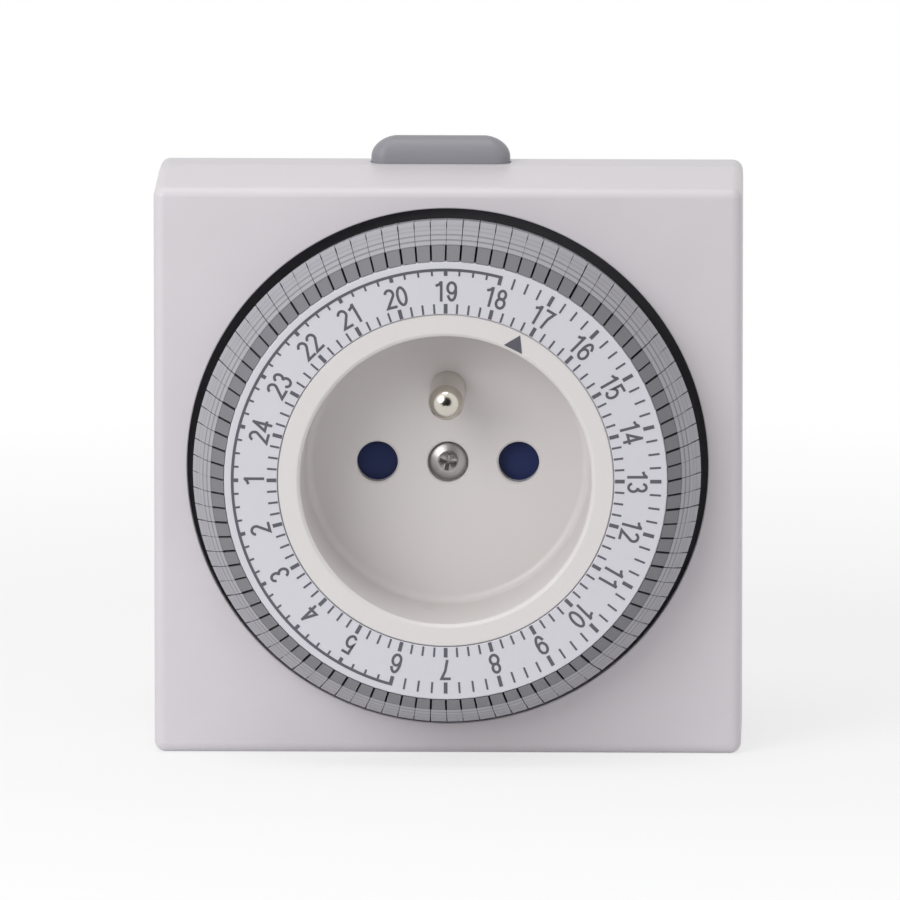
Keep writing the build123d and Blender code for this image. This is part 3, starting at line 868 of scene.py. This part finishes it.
@dataclass
class Screw:
    """A cross-head screw along Y whose head faces the front."""

    head_r: float
    head_y: float
    back_y: float
    shank_r: float
    end_y: float
    recess_r: float = 1.45
    recess_width: float = 0.62
    recess_depth: float = 0.9

    def piece(self, name: str) -> bpy.types.Object:
        """The screw's finished mesh as an object."""
        profile = rounded([
            (0, self.head_y, 0), (self.head_r * 0.55, self.head_y + 0.05, 0.8),
            (self.head_r, self.head_y + 0.55, 0.15), (self.head_r, self.back_y, 0),
            (self.shank_r, self.back_y, 0), (self.shank_r, self.end_y, 0.3), (0, self.end_y, 0)], 5)
        body = as_object(name, Shape().turned(profile, 64).mesh(name))
        return softened(carved(body, [self.slot(0), self.slot(90)]), 0.04, angle=40)

    def slot(self, angle: float) -> Shape:
        """One bar of the cross, narrower at its foot."""
        deep, wide = self.head_y + self.recess_depth, self.recess_width / 2
        rows = []
        for y, half, reach in (
            (deep, wide * 0.5, self.recess_r * 0.55), (self.head_y - 0.5, wide, self.recess_r),
        ):
            rows.append([Vector((x, y, z)) for x, z in
                         ((-reach, -half), (reach, -half), (reach, half), (-reach, half))])
        shape = Shape().loops(rows, True, False).capped()
        return shape.placed(Matrix.Rotation(radians(angle + 12), 4, "Y"))


# ---- Figures ----------------------------------------------------------------------------------
@dataclass(frozen=True)
class Stroke:
    """One stroke of a figure: the middle line of a band, in heights of the figure."""

    points: tuple[Point2, ...]
    closed: bool = False

    def edges(self, width: float) -> list[tuple[Point2, Point2]]:
        """The two edges of the band along the stroke.

        Args:
            width: The band's width.

        Returns:
            The left and the right edge's point at each point of the stroke.
        """
        count = len(self.points)
        both = []
        for k, point in enumerate(self.points):
            before = self.points[k - 1] if k or self.closed else point
            after = self.points[(k + 1) % count] if k < count - 1 or self.closed else point
            ways = [Vector(q) - Vector(p) for p, q in ((before, point), (point, after)) if p != q]
            side = sum((Vector((-w.y, w.x)).normalized() for w in ways), Vector((0, 0))).normalized()
            reach = side * (width / 2 / side.dot(Vector((-ways[0].y, ways[0].x)).normalized()))
            at = Vector(point)
            both.append((tuple(at + reach), tuple(at - reach)))
        return both


def line(*points: Point2) -> Stroke:
    """A stroke straight from point to point."""
    return Stroke(points)


def oval(z: float, half_width: float, half_height: float, start: float = 90, swing: float = 360,
         then: tuple[Point2, ...] = ()) -> Stroke:
    """A stroke round an oval that stands on the figure's middle line.

    Args:
        z: The oval's middle above the figure's middle.
        half_width: Its half width.
        half_height: Its half height.
        start: Where the stroke starts, in degrees from the right.
        swing: How far it goes round; a whole turn closes it.
        then: Points that it goes on to.

    Returns:
        The stroke.
    """
    steps = max(round(abs(swing) / 15), 4)
    whole = abs(swing) >= 360
    turns = [radians(start + swing * n / steps) for n in range(steps if whole else steps + 1)]
    arc = tuple((half_width * cos(a), z + half_height * sin(a)) for a in turns)
    return Stroke(arc + then, whole)


FIGURES: tuple[tuple[Stroke, ...], ...] = (
    (oval(0, 0.20, 0.435),),
    (line((0.08, -0.5), (0.08, 0.5)), line((0.06, 0.44), (-0.02, 0.34), (-0.19, 0.27))),
    (oval(0.215, 0.20, 0.22, 165, -190, ((-0.2, -0.435), (0.26, -0.435))),),
    (oval(0.215, 0.18, 0.22, 165, -250), oval(-0.20, 0.20, 0.235, 85, -250)),
    (line((0.1, -0.5), (0.1, 0.5)), line((0.1, 0.42), (-0.22, -0.2), (0.26, -0.2))),
    (oval(-0.155, 0.20, 0.28, 215, 290, ((-0.15, 0.435), (0.22, 0.435))),),
    (oval(-0.17, 0.20, 0.265), oval(0, 0.20, 0.435, 25, 165)),
    (line((-0.25, 0.435), (0.2, 0.435), (0.02, 0.05), (-0.08, -0.5)),),
    (oval(0.22, 0.17, 0.215), oval(-0.205, 0.20, 0.23)),
    (oval(0.17, 0.20, 0.265), oval(0, 0.20, 0.435, 205, 165)),
)


# ---- Dial -------------------------------------------------------------------------------------
@dataclass
class Dial:
    """The turning dial: number ring with its print, dark carrier wheel and the ring of tabs."""

    inner_r: float = 22.56
    outer_r: float = 29.68
    face_y: float = -57.2
    back_y: float = -55.9
    hours: int = 24
    tabs_per_hour: int = 4
    zero_angle: float = 165.0
    print_thick: float = 0.03
    inner_ticks: Point2 = (22.65, 23.95)
    outer_ticks: Point2 = (27.35, 28.85)
    night_ticks: Point2 = (27.75, 28.5)
    night_line: Point2 = (28.36, 28.74)
    thin: float = 0.27
    bold: float = 0.50
    figure_height: float = 2.75
    figure_advance: float = 1.62
    figure_r: float = 25.65
    stroke_width: float = 0.36
    day_start: float = -105.0

    @property
    def pitch(self) -> float:
        """Degrees from one tab to the next."""
        return 360 / (self.hours * self.tabs_per_hour)

    def build(self, shop: Workshop) -> None:
        """Makes and fits every piece of the dial."""
        profile = rounded([
            (self.inner_r, self.back_y, 0), (self.inner_r, self.face_y, 0.12),
            (self.outer_r, self.face_y, 0.2), (self.outer_r, self.back_y, 0)], 5)
        ring = as_object("number_ring", Shape().turned(profile, 192).mesh("number_ring"))
        shop.fit(softened(ring), Finish.DIAL, "dial", "number_dial")
        shop.carry("program_wheel", Finish.CARRIER)
        self.ticks(shop)
        self.night_arc(shop)
        self.numbers(shop)
        Tabs().build(shop, self)

    def bar(self, name: str, span: Point2, width: float) -> bpy.types.Object:
        """One printed tick on the +X side; a bold one lies a little above a thin one."""
        outline = [(span[0], -width / 2), (span[1], -width / 2), (span[1], width / 2), (span[0], width / 2)]
        front = self.face_y - self.print_thick * (1 + (width - self.thin))
        return as_object(name, Shape().slab(outline, self.face_y + 0.1, front).mesh(name))

    def ticks(self, shop: Workshop) -> None:
        """The ticks of every quarter hour round the inside and round the day's outer edge."""
        ink = shop.wardrobe.built[Finish.INK]
        quarter, hour = self.pitch, self.pitch * self.tabs_per_hour
        day, night = self.day_start, self.day_start + 180
        half = self.hours * self.tabs_per_hour // 2
        rows = (
            ("inner_ticks", self.inner_ticks, self.thin, self.zero_angle, quarter, 2 * half),
            ("inner_hour_ticks", self.inner_ticks, self.bold, self.zero_angle, hour, self.hours),
            ("day_ticks", self.outer_ticks, self.thin, day + quarter, quarter, half - 1),
            ("day_hour_ticks", self.outer_ticks, self.bold, day + hour, hour, self.hours // 2 - 1),
            ("night_ticks", self.night_ticks, self.thin, night + quarter, quarter, half - 1),
            ("night_hour_ticks", self.night_ticks, self.bold, night + hour, hour, self.hours // 2 - 1),
            ("night_end_ticks", (27.45, self.night_line[1]), self.bold, night, 180.0, 2),
        )
        for name, span, width, first, step, count in rows:
            piece = shop.ring.apply(
                self.bar(name, span, width), ink, Count=count, First=radians(first), Step=radians(step))
            shop.fit(piece, Finish.INK, "dial")

    def night_arc(self, shop: Workshop) -> None:
        """The printed line that joins the night's ticks."""
        steps, start, front = 96, self.day_start + 180, self.face_y - 1.5 * self.print_thick
        rows = []
        for n in range(steps + 1):
            angle = start + 180 * n / steps
            rows.append([Vector((polar(r, angle)[0], y, polar(r, angle)[1])) for r, y in (
                (self.night_line[0], self.face_y + 0.1), (self.night_line[0], front),
                (self.night_line[1], front), (self.night_line[1], self.face_y + 0.1))])
        shape = Shape().loops(rows, True, False).capped()
        shop.fit(as_object("night_line", shape.mesh("night_line")), Finish.INK, "dial")

    def numbers(self, shop: Workshop) -> None:
        """The hours 1 to 24, with their tops outwards."""
        shape = Shape()
        for hour in range(1, self.hours + 1):
            angle = self.zero_angle + hour * 360 / self.hours
            figures = str(hour)
            for place, figure in enumerate(figures):
                across = (place - (len(figures) - 1) / 2) * self.figure_advance
                for layer, stroke in enumerate(FIGURES[int(figure)]):
                    self.stroke(shape, stroke, across, angle, layer)
        shop.fit(as_object("hour_numbers", shape.mesh("hour_numbers")), Finish.INK, "dial")

    def stroke(self, shape: Shape, stroke: "Stroke", across: float, angle: float, layer: int) -> None:
        """Adds one printed stroke of a figure.

        Args:
            shape: What it is added to.
            stroke: The stroke, in heights of a figure.
            across: Where the figure's middle stands, to the right of the number's middle.
            angle: Where the number stands, in degrees from +X towards +Z.
            layer: Which of the figure's strokes it is; each lies a little above the last.
        """
        front = self.face_y - self.print_thick - 0.004 * layer
        turn = Matrix.Rotation(-radians(angle - 90), 3, "Y")
        rows = []
        for left, right in stroke.edges(self.stroke_width / self.figure_height):
            (x0, z0), (x1, z1) = [
                (across + x * self.figure_height, self.figure_r + z * self.figure_height)
                for x, z in (left, right)]
            foot = self.face_y + 0.1
            rows.append([turn @ Vector(p) for p in (
                (x0, foot, z0), (x0, front, z0), (x1, front, z1), (x1, foot, z1))])
        shape.loops(rows, True, stroke.closed)
        if not stroke.closed:
            shape.capped()


@dataclass
class Tabs:
    """The 96 sliding tabs that set the switching times, four to each hour."""

    inner: Point2 = (29.72, -57.2)
    brow: Point2 = (31.5, -54.6)
    step: Point2 = (0.55, 1.0)
    middle: Point2 = (33.25, -51.0)
    outer: Point2 = (34.05, -49.2)
    under: Point2 = (33.6, -48.7)
    base_y: float = -44.6
    gap: float = 0.05
    wide: float = 0.12
    medium: float = 0.05
    narrow: float = 0.015
    depth: float = 5.0
    groove: float = 0.05
    play: float = 0.04
    shank: Point2 = (30.2, 31.7)
    shank_width: float = 1.3
    foot_r: float = 35.0
    foot_y: Point2 = (-38.0, -39.4)

    def build(self, shop: Workshop, dial: Dial) -> None:
        """Makes one piece of four tabs for each hour.

        Args:
            shop: What they are made with.
            dial: The dial that they stand round.
        """
        material = shop.wardrobe.built[Finish.TAB]
        single = self.single(dial.pitch)
        for hour in range(dial.hours):
            piece = as_object(f"hour_{hour + 1:02d}_tabs", single.data.copy())
            first = dial.zero_angle + (hour * dial.tabs_per_hour + 0.5) * dial.pitch
            shop.ring.apply(
                piece, material, Count=dial.tabs_per_hour, First=radians(first), Step=radians(dial.pitch),
                Play=self.play / self.outer[0], Seed=hour)
            shop.fit(piece, Finish.TAB, f"tabs_hour_{hour + 1:02d}", f"tabs_hour_{hour + 1:02d}")
        bpy.data.objects.remove(single)

    def single(self, pitch: float) -> bpy.types.Object:
        """One tab on the +X side, with its grooved head, shank and hooked foot."""
        wide, narrow = self.wide, self.narrow
        ledges = [(self.brow[0] + n * self.step[0], self.brow[1] + n * self.step[1]) for n in range(3)]
        head = [(*self.inner, wide), (*self.brow, wide)]
        for r, y in ledges:
            head += [(r + 0.02, y, narrow), (r + 0.02, y + 0.12, narrow),
                     (r + self.groove, y + 0.12, narrow)]
        head += [(*self.middle, narrow), (self.middle[0] + 0.02, self.middle[1] + 0.04, self.medium),
                 (*self.outer, self.medium), (*self.under, narrow),
                 (self.under[0], self.base_y, narrow), (self.inner[0], self.base_y, narrow)]
        shape = Shape()
        # the head's outline four times across: its sides lie lower than its face, as grooves
        middle = Vector((sum(p[0] for p in head) / len(head), sum(p[1] for p in head) / len(head)))
        rows = []
        for side, inner in ((-1, 0), (-1, 1), (1, 1), (1, 0)):
            row = []
            for r, y, edge in head:
                sunk = (middle - Vector((r, y))).normalized() * (0 if inner else edge * self.depth)
                half = self.half_width(r, pitch, self.gap + edge * (2 if inner else 1.3))
                row.append(Vector((r + sunk.x, y + sunk.y, side * half)))
            rows.append(row)
        shape.loops(rows, True, False).capped()
        back, front = self.foot_y
        rows = [[Vector((r, y, side * self.half_width(r, pitch, 0.3))) for r, y in (
            (self.shank[0], front), (self.foot_r, front), (self.foot_r, back), (self.shank[0], back))]
            for side in (-1, 1)]
        shape.loops(rows, True, False).capped()
        across = self.shank_width / 2
        rows = [[Vector((r, y, z)) for r, z in (
            (self.shank[0] + 0.05, -across), (self.shank[1], -across), (self.shank[1], across),
            (self.shank[0] + 0.05, across))] for y in (self.base_y - 0.3, front + 0.3)]
        shape.loops(rows, True, False).capped()
        return softened(as_object("single_tab", shape.mesh("single_tab")), angle=30)

    def half_width(self, radius: float, pitch: float, gap: float) -> float:
        """Half a tab's width at this radius, which leaves this gap to the next."""
        half = radians(pitch / 2)
        return radius * tan(half) - gap / 2 / cos(half)


# ---- Housing ----------------------------------------------------------------------------------
@dataclass
class Case:
    """The two moulded halves of the case, which meet at a fine parting groove."""

    half_width: float = 39.45
    top: float = 37.8
    bottom: float = -39.2
    face_y: float = -45.0
    parting_y: float = -25.0
    back_y: float = -17.0
    wall: float = 2.0
    corner_r: float = 1.5
    front_edge_r: float = 1.5
    rear_edge_r: float = 1.2
    draft: float = 0.12
    groove: float = 0.12
    opening_r: float = 35.0
    plug_hole_r: float = 18.55
    screw_hole_r: float = 3.0
    slot_low: Point2 = (-10.9, -23.6)
    slot_high: Point2 = (8.1, -19.0)
    slot_r: float = 2.1

    def build(self, shop: Workshop) -> None:
        """Makes and fits both halves and their screw posts."""
        opening = Shape().turned([
            (0, -40), (self.opening_r, -40), (self.opening_r, self.face_y + 0.12),
            (self.opening_r + 0.12, self.face_y), (self.opening_r + 0.12, -46), (0, -46)], 192)
        front = self.half("case_front", self.face_y, self.front_edge_r, 0.0, [opening])
        shop.fit(front, Finish.HOUSING, "housing", "front_housing")
        holes = [self.back_hole(self.plug_hole_r, 0, 0, 128)]
        for x in (-SCREWS[0], SCREWS[0]):
            for z in (-SCREWS[1], SCREWS[1]):
                holes.append(self.back_hole(self.screw_hole_r, x, z, 48))
        rear = self.half("case_back", self.back_y, self.rear_edge_r, self.draft, holes)
        shop.fit(rear, Finish.BACK, "housing", "rear_housing")
        for name, finish, profile in (
            ("front_posts", Finish.HOUSING, [(1.1, -25), (2.8, -25), (2.8, -43.2), (1.1, -43.2)]),
            ("back_posts", Finish.BACK, [
                (1.4, -24.9), (3.4, -24.9), (3.4, -18.8), (3.0, -18.8), (3.0, -21), (1.4, -21)]),
        ):
            post = shop.at_screws(as_object(name, Shape().turned(profile, 48).mesh(name)), finish)
            shop.fit(softened(post), finish, "housing")

    def back_hole(self, radius: float, x: float, z: float, steps: int) -> Shape:
        """A cutter for a round hole through the back wall."""
        outside, inside = self.back_y + 1, self.back_y - 2 * self.wall
        shape = Shape().turned([(0, outside), (radius, outside), (radius, inside), (0, inside)], steps)
        return shape.placed(Matrix.Translation((x, 0, z)))

    def half(
        self, name: str, end_y: float, edge_r: float, draft: float, cutters: list[Shape]
    ) -> bpy.types.Object:
        """One half: a hollow box with rounded edges that is open towards the other half.

        Args:
            name: The piece's name.
            end_y: Where its outer face stands.
            edge_r: The rounding of the edges round that face.
            draft: How far its sides draw in towards that face.
            cutters: What is cut out of it, apart from the button's slot.

        Returns:
            The piece.
        """
        inward = 1 if end_y < self.parting_y else -1
        depth = abs(end_y - self.parting_y) - edge_r
        rows = [
            self.section(end_y + inward * self.wall, self.wall + draft),
            self.section(self.parting_y, self.wall), self.section(self.parting_y, self.groove),
            self.section(self.parting_y - inward * self.groove, 0.0),
        ]
        steps = 10
        for n in range(steps + 1):
            angle = pi / 2 * n / steps
            inset = draft * depth / (depth + edge_r) + edge_r * (1 - cos(angle))
            rows.append(self.section(end_y + inward * edge_r * (1 - sin(angle)), inset))
        piece = as_object(name, Shape().loops(rows, True, False).capped().mesh(name))
        low, high = (self.slot_low[0], -self.slot_high[1]), (self.slot_high[0], -self.slot_low[1])
        slot = Shape().slab(rectangle(low, high, self.slot_r), self.top + 1, self.top - 3)
        slot.placed(Matrix.Rotation(pi / 2, 4, "X"))
        return softened(carved(piece, cutters + [slot]), 0.0, angle=28)

    def section(self, y: float, inset: float) -> list[Vector]:
        """The case's outline at this depth, drawn in by inset."""
        low = (-self.half_width + inset, self.bottom + inset)
        high = (self.half_width - inset, self.top - inset)
        return [Vector((x, y, z)) for x, z in rectangle(low, high, max(self.corner_r - inset, 0.25), 10)]


@dataclass
class Fittings:
    """What is fixed to the case: the plug's pieces, the screws and the button."""

    pin_r: float = 2.4
    pin_x: float = 9.5
    pin_length: float = 19.0
    button_middle: Point2 = (-1.4, -21.3)
    button_half: Point2 = (9.38, 2.18)
    button_z: Point2 = (35.2, 41.5)
    button_round: Corner = (3.5, 2.1, 3.0)
    button_crown: float = 0.35

    def build(self, shop: Workshop) -> None:
        """Makes and fits the plug's pieces, the screws and the button."""
        shop.carry("plug_insert", Finish.INSERT, 0.12)
        shop.carry("earth_bridge", Finish.NICKEL, 0.05)
        self.pins(shop)
        self.screws(shop)
        self.button(shop)

    def button(self, shop: Workshop) -> None:
        """The domed cap of the button, on its flange and stem."""
        low, high = self.button_z
        round_x, round_y, round_z = self.button_round
        steps = 14
        rows = [self.button_section(low, 0.0, 0.0, 0.0)]
        for n in range(steps + 1):
            angle = pi / 2 * n / steps
            drawn = 1 - cos(angle)
            rows.append(self.button_section(
                high - round_z * (1 - sin(angle)), round_x * drawn, round_y * drawn,
                self.button_crown * sin(angle)))
        shape = Shape().loops(rows, True, False).capped()
        cap = softened(as_object("button_cap", shape.mesh("button_cap")), angle=40)
        shop.fit(cap, Finish.BUTTON, "override_button")
        above = Shape().slab(rectangle((-20, low + 0.3), (20, 50), 1), -10, -40)
        shop.carry("override_button", Finish.BUTTON, cutters=[above])

    def button_section(self, z: float, in_x: float, in_y: float, crown: float) -> list[Vector]:
        """The button's outline at this height, drawn in and sunk by its crown towards its ends."""
        (mid_x, mid_y), (half_x, half_y) = self.button_middle, self.button_half
        low, high = (in_x - half_x, in_y - half_y), (half_x - in_x, half_y - in_y)
        outline = rectangle(low, high, (half_y - in_y) * 0.92, 8)
        return [Vector((mid_x + x, mid_y + y, z - crown * (x / half_x) ** 2)) for x, y in outline]

    def pins(self, shop: Workshop) -> None:
        """The plug's two solid line pins."""
        for name, x in (("live_pin", self.pin_x), ("neutral_pin", -self.pin_x)):
            profile = rounded([
                (0, self.pin_length, 0), (1.3, self.pin_length, 0.9),
                (self.pin_r, self.pin_length - 2.3, 1.2), (self.pin_r, 0, 0), (2.9, 0, 0), (2.9, -19, 0),
                (3.2, -19, 0), (3.2, -20.9, 0), (1.2, -20.9, 0), (1.2, -21.9, 0), (0, -21.9, 0)], 7)
            shape = Shape().turned(profile, 64).placed(Matrix.Translation((x, 0, 0)))
            piece = softened(as_object(f"plug_{name}", shape.mesh(f"plug_{name}")), angle=35)
            shop.fit(piece, Finish.PLATED, "housing", name)

    def screws(self, shop: Workshop) -> None:
        """The four screws that hold the halves together, with their heads at the back."""
        screw = Screw(head_r=2.7, head_y=19.2, back_y=21.0, shank_r=1.05, end_y=36.0, recess_r=1.5)
        piece = screw.piece("case_screws")
        piece.data.transform(Matrix.Rotation(pi, 4, "Z"))
        shop.fit(shop.at_screws(piece, Finish.STEEL), Finish.STEEL, "housing", "housing_screws")


@dataclass(frozen=True)
class Spring:
    """A coil spring along Z, dressed as it stands."""

    node: str
    joint: str
    fixed_z: float
    keep: float

    def build(self, shop: Workshop) -> None:
        """Fits the spring and gives it its own copy of its mesh."""
        piece = shop.carry(self.node, Finish.STEEL)
        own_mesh(piece)


@dataclass
class Works:
    """What the case holds: motor, gears, switch, springs and the strips that carry the current."""

    springs: tuple[Spring, ...] = (
        Spring("button_spring", "override_push", 28.6, 0.66),
        Spring("shutter_spring", "shutter_slide", -17.2, 0.31),
        Spring("lever_spring", "switch_lever_tilt", 35.75, 0.72),
    )

    def build(self, shop: Workshop) -> None:
        """Dresses the inner pieces and fits the springs."""
        for spring in self.springs:
            spring.build(shop)
        plan = {
            Finish.BRASS: ("neutral_contact", "live_contact", "live_bar", "contact_leaf", "earth_strap",
                           "earth_receptacle"),
            Finish.STEEL: ("motor_can", "gear_arbors", "lever_pin"),
            Finish.GEAR: ("drive_gear", "reduction_gear", "switch_lever"),
            Finish.BLACK: ("motor_rotor", "switch_base"),
            Finish.WINDING: ("motor_coil",),
        }
        for finish, nodes in plan.items():
            for node in nodes:
                shop.carry(node, finish)


# ---- Studio -----------------------------------------------------------------------------------
class Sky(Nodes):
    """The room round the object: even light, white to the eye, and dark behind the viewer's place."""

    def __init__(self) -> None:
        """Starts an empty sky."""
        world = bpy.data.worlds.new("soft room")
        bpy.context.scene.world = world
        world.use_nodes = True
        super().__init__(world.node_tree)

    def build(self, ambient: float, viewer: Corner) -> None:
        """Makes the sky.

        Args:
            ambient: How strongly it lights matt surfaces.
            viewer: The direction in which a mirror sees the dark side of the room.
        """
        way = self.node("ShaderNodeTexCoord").outputs["Generated"]
        facing = self.value(
            "ShaderNodeVectorMath", "Value", {"operation": "DOT_PRODUCT"}, {0: way, 1: viewer})
        bright = self.value("ShaderNodeMapRange", 0, {"interpolation_type": "SMOOTHSTEP"}, {
            "Value": facing, "From Min": 0.92, "From Max": 0.78, "To Min": 0.02, "To Max": 1.0})
        path = self.node("ShaderNodeLightPath")
        seen = Value(self, path.outputs["Is Camera Ray"])
        mirrored = Value(self, path.outputs["Is Glossy Ray"])
        strength = seen + (1.0 - seen) * (mirrored * bright + (1.0 - mirrored) * ambient)
        shade = self.node("ShaderNodeBackground", {}, {"Color": (1, 1, 1, 1), "Strength": strength})
        self.node("ShaderNodeOutputWorld", {}, {"Surface": shade.outputs[0]})


@dataclass
class Studio:
    """The floor, lamps, sky and camera."""

    azimuth: float = 1.2
    elevation: float = 9.3
    distance: float = 3000.0
    frame_width: float = 120.8
    aim: Corner = (0.33, -45.0, 2.2)
    ambient: float = 0.56
    floor_r: float = 240.0
    clear_r: float = 90.0

    @property
    def away(self) -> Vector:
        """The direction from the object to the camera."""
        turn, rise = radians(self.azimuth), radians(self.elevation)
        return Vector((sin(turn) * cos(rise), -cos(turn) * cos(rise), sin(rise)))

    def build(self) -> None:
        """Sets up all that isn't the object."""
        bpy.context.scene.view_settings.view_transform = "Standard"
        self.floor()
        Sky().build(self.ambient, tuple(self.away))
        self.lamps()
        self.camera()

    def floor(self) -> None:
        """A pale round floor that takes the shadow and fades into the white room."""
        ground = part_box("front_housing")[0][2] / MM
        rows = [[Vector((r * cos(a), r * sin(a), ground)) for a in (2 * pi * n / 96 for n in range(96))]
                for r in (self.floor_r, self.floor_r / 2)]
        shape = Shape().loops(rows + [[Vector((0, 0, ground))]], True, False)
        sheet = as_object("floor", shape.mesh("floor"))
        shader = Shader("pale paper")
        paper = shader.node("ShaderNodeBsdfDiffuse", {}, {"Color": (0.9, 0.9, 0.91, 1)})
        glow = shader.node("ShaderNodeEmission", {}, {"Color": (1, 1, 1, 1), "Strength": 1.0})
        beyond = shader.reach(shader.place(), (1, 1, 0)) - self.clear_r
        outward = beyond * (1 / (self.floor_r - self.clear_r))
        path = shader.node("ShaderNodeLightPath")
        seen = Value(shader, path.outputs["Is Camera Ray"]) + Value(shader, path.outputs["Is Glossy Ray"])
        share = seen.between(0, 1) * (0.68 + 0.32 * outward.between(0, 1))
        mixed = shader.node("ShaderNodeMixShader", {}, {0: share, 1: paper.outputs[0], 2: glow.outputs[0]})
        shader.node("ShaderNodeOutputMaterial", {}, {"Surface": mixed.outputs[0]})
        sheet.data.materials.append(shader.material)

    def lamps(self) -> None:
        """A large soft key from the upper left and a weak light from above."""
        for name, place, size, power in (
            ("key", (-250, -400, 214), 340, 0.94), ("top", (-60, -160, 540), 300, 0.65),
        ):
            lamp = bpy.data.lights.new(name, "AREA")
            lamp.shape, lamp.size, lamp.energy = "DISK", size * MM, power
            holder = as_object(name, lamp)
            holder.visible_camera = False
            holder.location = Vector(place) * MM
            towards = Vector((0, -45, 0)) * MM - holder.location
            holder.rotation_euler = towards.to_track_quat("-Z", "Y").to_euler()

    def camera(self) -> None:
        """A long lens from slightly above and to the right."""
        data = bpy.data.cameras.new("camera")
        data.sensor_width = data.sensor_height = 36
        data.sensor_fit = "HORIZONTAL"
        data.lens = 36 * self.distance / self.frame_width
        data.clip_start, data.clip_end = 0.01, 20
        holder = as_object("camera", data)
        holder.location = (Vector(self.aim) + self.away * self.distance) * MM
        holder.rotation_euler = (-self.away).to_track_quat("-Z", "Y").to_euler()
        bpy.context.scene.camera = holder


def main() -> None:
    """Builds the sub-assemblies in order."""
    logging.basicConfig(level=logging.INFO, format="%(name)s: %(message)s")
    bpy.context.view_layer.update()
    shop = Workshop()
    for assembly in (Case(), Fittings(), Socket(), Dial(), Works()):
        assembly.build(shop)
    Studio().build()


if __name__ == "__main__":
    main()
